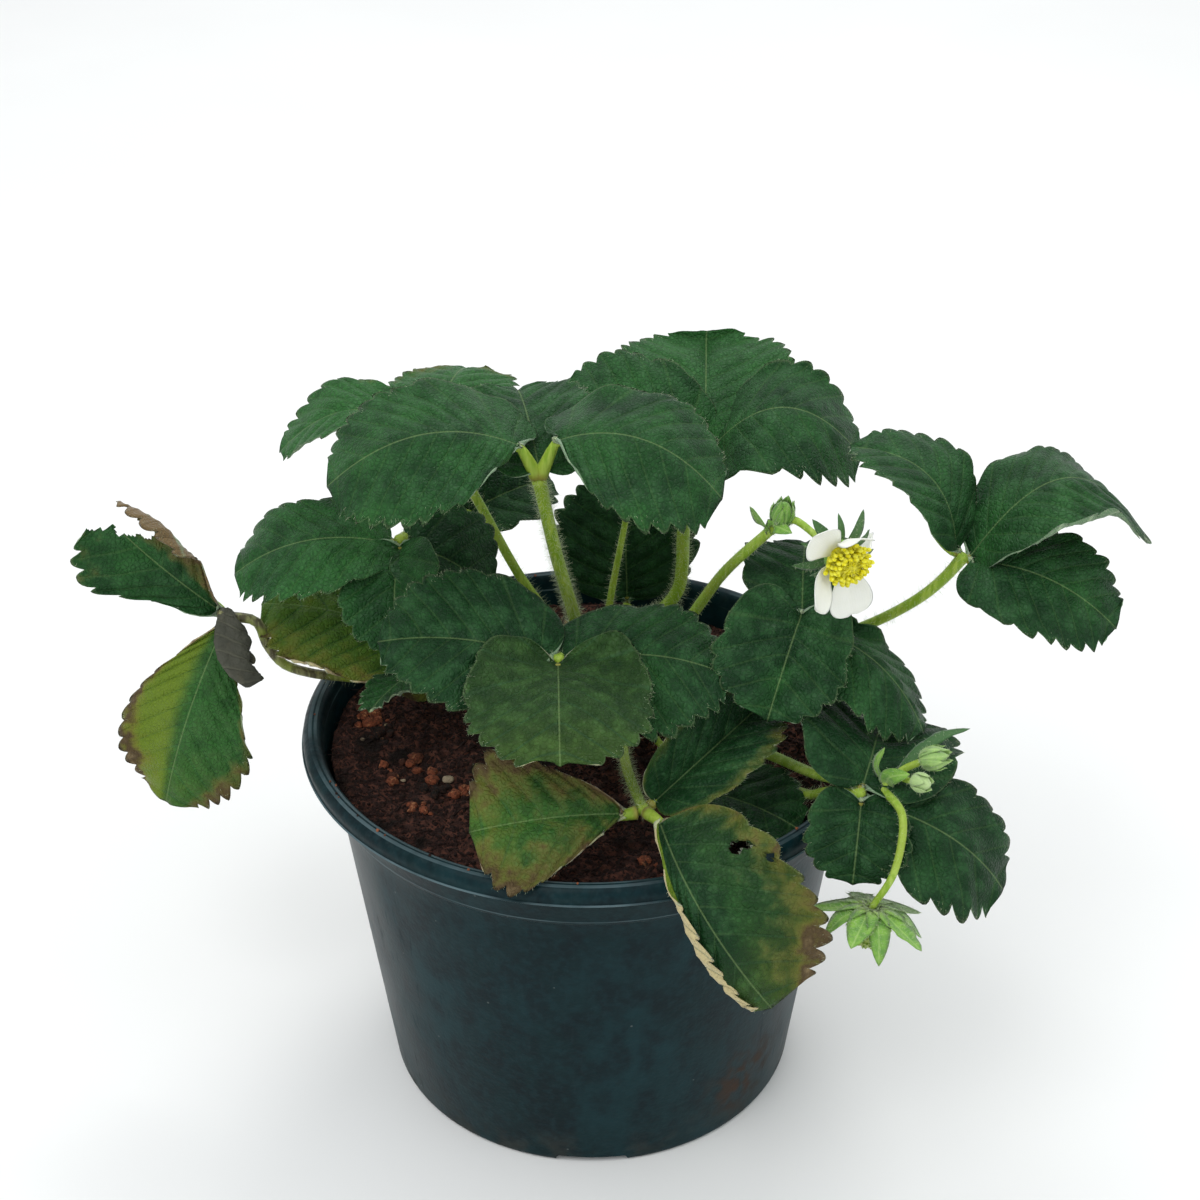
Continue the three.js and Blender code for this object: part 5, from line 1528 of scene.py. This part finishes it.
class OBJECT_OT_strawberry_pot(bpy.types.Operator):
    """Build the moulded pot with its rolled lip, ledge, foot and drain holes"""
    bl_idname = "object.strawberry_pot"
    bl_label = "Pot"

    def execute(self, context):
        pot = settings("pot")
        wall = pot.wall / MM
        top, ledge = POT["height"], POT["ledge_height"]
        under_lip = top - 5.0
        foot = POT["foot"]
        outside = [(6, 0), (DRAIN["inner_end"], 0), (40, 0), (POT["base"] - foot - 1.2, 0),
                   (POT["base"] - foot - 0.3, 0.12)]
        outside += [(wall_radius(foot) - foot * (1 - math.sin(k)), foot * (1 - math.cos(k)))
                    for k in np.linspace(0.35, 1.45, 5)]
        outside += [(wall_radius(z), z) for z in (2.2, 5, 10, 20, 35, 50, 65, 80, 90, 95.5)]
        outside += [(wall_radius(96.4) + 0.15, 96.4), (wall_radius(97) + 0.7, 96.9),
                    (POT["ledge"] - 0.45, 97.35), (POT["ledge"] - 0.1, 97.8), (POT["ledge"], ledge + 0.5)]
        outside += [(POT["ledge"] + (POT["collar"] - POT["ledge"]) * k,
                     ledge + 0.5 + (under_lip - 1.3 - ledge) * k) for k in (0.25, 0.5, 0.75, 0.97)]
        outside += [(POT["collar"] + 0.35, under_lip - 0.55), (POT["collar"] + 1.0, under_lip - 0.2),
                    (77.6, under_lip - 0.05), (79.1, under_lip - 0.05), (79.75, under_lip + 0.05),
                    (79.98, under_lip + 0.28), (79.9, under_lip + 0.52), (79.55, under_lip + 0.7),
                    (79.5, under_lip + 1.2), (79.55, under_lip + 2.0), (79.45, under_lip + 2.9),
                    (79.0, under_lip + 3.8), (78.3, under_lip + 4.5), (77.6, top - 0.08), (76.6, top),
                    (75.8, top - 0.15), (75.1, top - 0.6), (74.6, top - 1.4), (74.15, top - 2.6),
                    (POT["collar"] - wall, under_lip)]
        inside = [(POT["collar"] - wall - 0.4, 105), (POT["ledge"] - wall + 0.1, 100),
                  (POT["ledge"] - wall, ledge), (wall_radius(97) - wall, 96)]
        inside += [(wall_radius(z) - wall, z) for z in (70, 40, 15, 7)]
        inside += [(wall_radius(5) - wall - 1.2, 5.0), (wall_radius(5) - wall - 3.5, POT["floor"]),
                   (30, POT["floor"]), (6, POT["floor"])]
        body = Skin()
        body.lathe([(0, 0), *outside, *inside, (0, POT["floor"])], (0, 0, 0), (0, 0, 1), pot.sides, 0)
        made = body.to_object("pot", ["pot"])
        for k in range(4):
            turn = math.radians(90 * k - 90)
            reach = POT["base"] + 2
            channel = Skin()
            rounded = []
            width, depth = DRAIN["width"] / 2, DRAIN["depth"]
            for angle in np.linspace(0, math.pi, 9):
                rounded.append((width - 1.2 + 1.2 * math.cos(angle) if angle < math.pi / 2
                                else -width + 1.2 + 1.2 * math.cos(angle),
                                depth - 1.2 + 1.2 * math.sin(angle)))
            ring = [(width, -2.0), *rounded, (-width, -2.0)]
            ends = []
            for far in (DRAIN["inner_end"], reach):
                ends += [(far, across, z) for across, z in ring]
            n = len(ring)
            faces = [[i, (i + 1) % n, n + (i + 1) % n, n + i] for i in range(n)]
            faces += [list(range(n))[::-1], list(range(n, 2 * n))]
            spun = np.array(ends)
            spun = np.stack([spun[:, 0] * math.cos(turn) - spun[:, 1] * math.sin(turn),
                             spun[:, 0] * math.sin(turn) + spun[:, 1] * math.cos(turn), spun[:, 2]], axis=1)
            channel.add(spun, faces)
            cut(made, outward(channel.to_object("channel", [])))
            hole = Skin()
            centre = (DRAIN["from_centre"] * math.cos(turn), DRAIN["from_centre"] * math.sin(turn), 0)
            hole.lathe([(0, -3), (DRAIN["hole"], -3), (DRAIN["hole"], 9), (0, 9)], centre, (0, 0, 1), 24)
            cut(made, outward(hole.to_object("hole", [])))
        soften(made)
        settle(made, ["pot"])
        crumbs_on_pot()
        return {"FINISHED"}


def outward(piece):
    """The same piece with its faces turned outwards."""
    mesh = bmesh.new()
    mesh.from_mesh(piece.data)
    bmesh.ops.recalc_face_normals(mesh, faces=mesh.faces)
    mesh.to_mesh(piece.data)
    mesh.free()
    return piece


def soften(piece, degrees=32):
    """Smooth faces that meet at less than that angle, with crisp edges between the others."""
    mesh = piece.data
    mesh.polygons.foreach_set("use_smooth", [True] * len(mesh.polygons))
    mesh.set_sharp_from_angle(angle=math.radians(degrees))


def lump(radius, seed, rough=0.28):
    """A rough twenty-sided crumb, unfinished."""
    points, faces = ball()
    rng = np.random.default_rng(seed)
    skin = Skin()
    skin.add(points * (radius * rng.uniform(1 - rough, 1 + rough, (len(points), 1))), faces)
    return skin.to_object("lump", [], smooth=False)


def crumbs_on_pot():
    """Orange loam crumbs and specks that lie on the lip's crest, most of them at the front."""
    rng = np.random.default_rng(77)
    grit = Skin()
    points, faces = ball()
    spots = [(-106.0, 0.9), (-105.0, 0.5), (-107.2, 0.45), (-62.0, 0.4), (-75.0, 0.35), (-135.0, 0.5)]
    spots += [(rng.uniform(-180, 180), rng.uniform(0.25, 0.5)) for _ in range(26)]
    for angle, size in spots:
        turn = math.radians(angle)
        radius = rng.uniform(75.4, 77.4)
        centre = np.array([radius * math.cos(turn), radius * math.sin(turn), POT["height"] + 0.35 * size])
        grit.add(centre + points * size * rng.uniform(0.7, 1.25, (len(points), 1)), faces,
                 life=(rng.uniform(0, 1), rng.uniform(0.75, 1), 0))
    grit.to_object("crumbs_on_lip", ["crumb"], "potting_mix", smooth=False)


def mix_height(x, y):
    """How high the potting mix stands, with soft mounds away from the crown."""
    low, high = (np.array(corner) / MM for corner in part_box("crown"))
    far = np.hypot(x - (low[0] + high[0]) / 2, y - (low[1] + high[1]) / 2)
    mounds = np.sin(x / 13 + 1) * np.cos(y / 11) + 0.6 * np.sin((x + y) / 8)
    return MIX_HEIGHT + ease(15, 27, far) * 1.1 * mounds


class OBJECT_OT_strawberry_mix(bpy.types.Operator):
    """Fill the pot with potting mix and strew crumbs, clods and fibres on it"""
    bl_idname = "object.strawberry_mix"
    bl_label = "Potting mix"

    def execute(self, context):
        mix = settings("mix")
        wall = settings("pot").wall / MM
        edge = POT["ledge"] - wall - CLEARANCE
        sides, steps = 200, 74
        angles = 2 * math.pi * np.arange(sides) / sides
        rows, weights = [], []
        bottom = POT["floor"] + 0.35
        for radius, z in ((wall_radius(bottom) - wall - CLEARANCE - 3.4, bottom),
                          (wall_radius(9) - wall - CLEARANCE, 9.0),
                          (wall_radius(50) - wall - CLEARANCE, 50.0),
                          (wall_radius(96) - wall - CLEARANCE - 0.4, 95.5),
                          (edge, 98.5), (edge + 0.3, 101.0)):
            rows.append(np.stack([radius * np.cos(angles), radius * np.sin(angles), angles * 0 + z], axis=1))
            weights.append(np.zeros(sides))
        for k in range(steps):
            radius = (edge + 0.7) * (1 - (k / steps)) + 0.3
            x, y = radius * np.cos(angles), radius * np.sin(angles)
            near_wall = ease(9, 0, edge - radius)
            z = mix_height(x, y) + 0.55 * ripple(x, y, 5, 9) + 0.45 * ripple(x, y, 6, 3.4)
            z = z + 0.3 * ripple(x, y, 7, 1.7) + 1.3 * near_wall * (0.6 + 0.5 * ripple(x, y, 8, 20))
            under_crown = np.hypot(x - CROWN_SEAT[0], y - CROWN_SEAT[1]) < 13
            z = np.where(under_crown, np.minimum(z, MIX_HEIGHT + 0.1), z)
            rows.append(np.stack([x, y, z], axis=1))
            weights.append(np.full(sides, float(k > 0)))
        top = np.array([[0, 0, float(mix_height(np.array(0.0), np.array(0.0)))]])
        base = np.array([[0, 0, bottom]])
        weight = np.concatenate(weights + [np.array([0.0, 1.0])])
        body = Skin()
        body.add(np.vstack(rows + [base, top]), shell_faces(len(rows), sides), 0, hair=weight, lean=UP)
        body.to_object("potting_mix", ["mix"], "potting_mix", ["potting_mix"])
        grain = mix.grain / MM / 2
        scattered("mix_crumbs", [body], lump(grain, 1), mix.crumbs, (0.35, 0.35, 0.3), (1.35, 1.2, 1.0), 0.6,
                  "crumb", sink=0.1, seed=3)
        scattered("mix_grit", [body], lump(0.38, 2), 0.48, (0.6, 0.6, 0.5), (1.2, 1.2, 1.0), 0.9, "crumb",
                  seed=4)
        fibre = Skin()
        fibre.tube([(0, -3, 0.2), (0.3, -1, 0.5), (-0.1, 1.2, 0.5), (0.4, 3, 0.2)], [0.12, 0.2, 0.18, 0.1], 5)
        scattered("mix_fibres", [body], fibre.to_object("fibre", []), 0.022, (0.6, 0.5, 0.7), (1.5, 1.3, 1.2),
                  0.35, "crumb", seed=6)
        clods = Skin()
        rng = np.random.default_rng(9)
        # Each heap: its middle, its spread, how many clods it has, and how orange they are.
        # The near-black heap at (-60, 3), just in front of the orange one at (-63, 12.5), is painted shade.
        heaps = (((-63.0, 12.5), 4.5, 30, 0.75), ((-60.0, 3.0), 4.5, 22, 0.05), ((-45.5, -32.0), 3.0, 9, 0.8),
                 ((-41.0, -21.0), 4.0, 14, 0.05), ((-34.0, -24.0), 4.0, 7, 0.6),
                 ((-50.0, -14.0), 9.0, 16, 0.5), ((14.0, -56.0), 5.0, 9, 0.4), ((48.0, -28.0), 5.0, 9, 0.3),
                 ((-14.0, -52.0), 7.0, 8, 0.5))
        for centre, spread, number, warmth in heaps:
            for _ in range(number):
                where = np.array(centre) + rng.normal(0, spread / 1.8, 2)
                if np.hypot(*where) > edge - 3:
                    continue
                size = 0.6 + 1.3 * rng.uniform(0, 1) ** 2
                ground = float(mix_height(where[0], where[1]))
                clod(clods, (where[0], where[1], ground + 0.35 * size), size, warmth, rng)
        clods.to_object("mix_clods", ["clod"], "potting_mix")
        return {"FINISHED"}


def clod(skin, centre, size, warmth, rng):
    """One rough clod: a ball pushed in and out by waves."""
    points, faces = ball(2)
    seed = int(rng.integers(1 << 30))
    x, y, z = points.T
    swell = 1 + 0.22 * ripple(x * 2 + z, y * 2 - z, seed, 2.2)
    swell = swell + 0.10 * ripple(x * 3 - z, y * 3 + z, seed + 1, 1.0)
    stretch = rng.uniform(0.75, 1.25, 3) * [1, 1, 0.8]
    skin.add(np.array(centre) + points * swell[:, None] * size * stretch, faces,
             life=(rng.uniform(0, 1), warmth + rng.uniform(-0.2, 0.2), rng.uniform(0, 1)))


class OBJECT_OT_strawberry_crown(bpy.types.Operator):
    """Build the scaly crown that the stalks grow from"""
    bl_idname = "object.strawberry_crown"
    bl_label = "Crown"

    def execute(self, context):
        low, high = (np.array(corner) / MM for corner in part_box("crown"))
        centre = np.array([(low[0] + high[0]) / 2, (low[1] + high[1]) / 2, low[2]])
        radius, height = (high[0] - low[0]) / 2 - SCALE_ROOM, high[2] - low[2] - SCALE_ROOM
        body = Skin()
        profile = [(0, 0.0)] + [(radius * math.cos(k), height * math.sin(k)) for k in
                                np.linspace(0.0, math.pi / 2 * 0.96, 12)] + [(0, height)]
        body.lathe(profile, centre, (0, 0, 1), 40, 0, wobble=0.06, seed=2)
        rng = np.random.default_rng(5)
        for row in range(4):
            for k in range(12):
                angle = 30 * k + 15 * (row % 2) + rng.uniform(-6, 6)
                rise = 8 + 19 * row
                spots = []
                for lift, clear in ((0, 0.1), (9, 0.45), (18, 0.5), (25, 0.8)):
                    turn = math.radians(min(rise + lift, 88))
                    spots.append(round_axis(centre, (0, 0, 1), angle, (radius + clear) * math.cos(turn),
                                            (height + clear) * math.sin(turn)))
                facing = round_axis((0, 0, 0), (0, 0, 1), angle, 1, 0.6)
                pointed(body, spline(spots, 8), 2.6, facing, 0, bend=-0.2, thick=0.25)
        body.to_object("crown", ["crown"], "crown", ["crown"])
        return {"FINISHED"}


# ---------------------------------------------------------------- stage

class OBJECT_OT_strawberry_stage(bpy.types.Operator):
    """Set the plant on a pale floor under soft light, and place the camera"""
    bl_idname = "object.strawberry_stage"
    bl_label = "Stage"

    def execute(self, context):
        stage = settings("stage")
        scene = bpy.context.scene
        scene.view_settings.view_transform = "Standard"
        floor = bpy.data.meshes.new("floor")
        half = 60.0
        floor.from_pydata([(-half, -half, 0), (half, -half, 0), (half, half, 0), (-half, half, 0)], [],
                          [[0, 1, 2, 3]])
        floor.materials.append(finish_of("floor"))
        card = bpy.data.objects.new("floor", floor)
        scene.collection.objects.link(card)

        world = bpy.data.worlds.new("Soft light")
        world.use_nodes = True
        sky = world.node_tree.nodes["Background"]
        sky.inputs["Color"].default_value = linear("#f4f8fc")
        sky.inputs["Strength"].default_value = 0.92
        scene.world = world
        lamps = (("Window", (-0.5, -0.75, 1.45), 0.9, 8.0, "#fbfdff"),
                 ("Ceiling", (0.20, 0.75, 1.5), 0.6, 6.0, "#ffffff"),
                 ("Right fill", (1.3, -0.5, 0.7), 0.9, 2.0, "#f2f8ff"))
        aim = np.array([0.0, 0.0, 0.12])
        for name, place, size, power, colour in lamps:
            light = bpy.data.lights.new(name, "AREA")
            light.shape = "DISK"
            light.size = size
            light.energy = power
            light.color = linear(colour)[:3]
            lamp = bpy.data.objects.new(name, light)
            lamp.matrix_world = looking(np.array(place), aim - np.array(place))
            scene.collection.objects.link(lamp)

        lens = bpy.data.cameras.new("Camera")
        lens.lens = stage.lens
        lens.sensor_width = 36.0
        lens.clip_start = 0.02
        lens.clip_end = 300.0
        camera = bpy.data.objects.new("Camera", lens)
        forward = np.array([0, math.cos(stage.elevation), -math.sin(stage.elevation)])
        target = np.array([2.9, 0.0, 149.7]) * MM
        camera.matrix_world = looking(target - forward * stage.distance, forward, math.radians(-0.2))
        scene.collection.objects.link(camera)
        scene.camera = camera
        return {"FINISHED"}


def looking(place, forward, roll=0.0):
    """The matrix of a lamp or camera at a place that looks forward, turned a little about its own line."""
    forward = unit(forward)
    right = unit(np.cross(forward, UP))
    up = np.cross(right, forward)
    turned = right * math.cos(roll) + up * math.sin(roll)
    over = up * math.cos(roll) - right * math.sin(roll)
    matrix = np.eye(4)
    matrix[:3, 0], matrix[:3, 1], matrix[:3, 2], matrix[:3, 3] = turned, over, -forward, place
    return [tuple(column) for column in matrix.T]


# ---------------------------------------------------------------- panel, registration and the run

PIECES = (OBJECT_OT_strawberry_stage, OBJECT_OT_strawberry_pot, OBJECT_OT_strawberry_mix,
          OBJECT_OT_strawberry_crown, OBJECT_OT_strawberry_leaves, OBJECT_OT_strawberry_single_leaves,
          OBJECT_OT_strawberry_flower, OBJECT_OT_strawberry_trusses, OBJECT_OT_strawberry_fruit)
SETTINGS = {"pot": PotSettings, "mix": MixSettings, "leaf": LeafSettings, "hair": HairSettings,
            "flower": FlowerSettings, "stage": StageSettings}


class VIEW3D_PT_strawberry(bpy.types.Panel):
    """Lists the plant's pieces and their settings"""
    bl_idname = "VIEW3D_PT_strawberry"
    bl_label = "Potted strawberry plant"
    bl_space_type = "VIEW_3D"
    bl_region_type = "UI"
    bl_category = "Strawberry"

    def draw(self, context):
        for piece in PIECES:
            self.layout.operator(piece.bl_idname)
        for kind in SETTINGS:
            box = self.layout.box()
            box.label(text=kind.capitalize())
            for name in SETTINGS[kind].__annotations__:
                box.prop(settings(kind), name)


def register():
    for kind, group in SETTINGS.items():
        bpy.utils.register_class(group)
        setattr(bpy.types.Scene, "strawberry_" + kind, PointerProperty(type=group))
    for piece in (*PIECES, VIEW3D_PT_strawberry):
        bpy.utils.register_class(piece)


def unregister():
    for piece in (VIEW3D_PT_strawberry, *reversed(PIECES)):
        bpy.utils.unregister_class(piece)
    for kind, group in SETTINGS.items():
        delattr(bpy.types.Scene, "strawberry_" + kind)
        bpy.utils.unregister_class(group)


def main():
    register()
    bpy.ops.object.strawberry_stage()
    bpy.ops.object.strawberry_pot()
    bpy.ops.object.strawberry_mix()
    bpy.ops.object.strawberry_crown()
    bpy.ops.object.strawberry_leaves()
    bpy.ops.object.strawberry_single_leaves()
    bpy.ops.object.strawberry_flower()
    bpy.ops.object.strawberry_trusses()
    bpy.ops.object.strawberry_fruit()
    bpy.context.view_layer.update()
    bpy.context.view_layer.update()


if __name__ == "__main__":
    main()
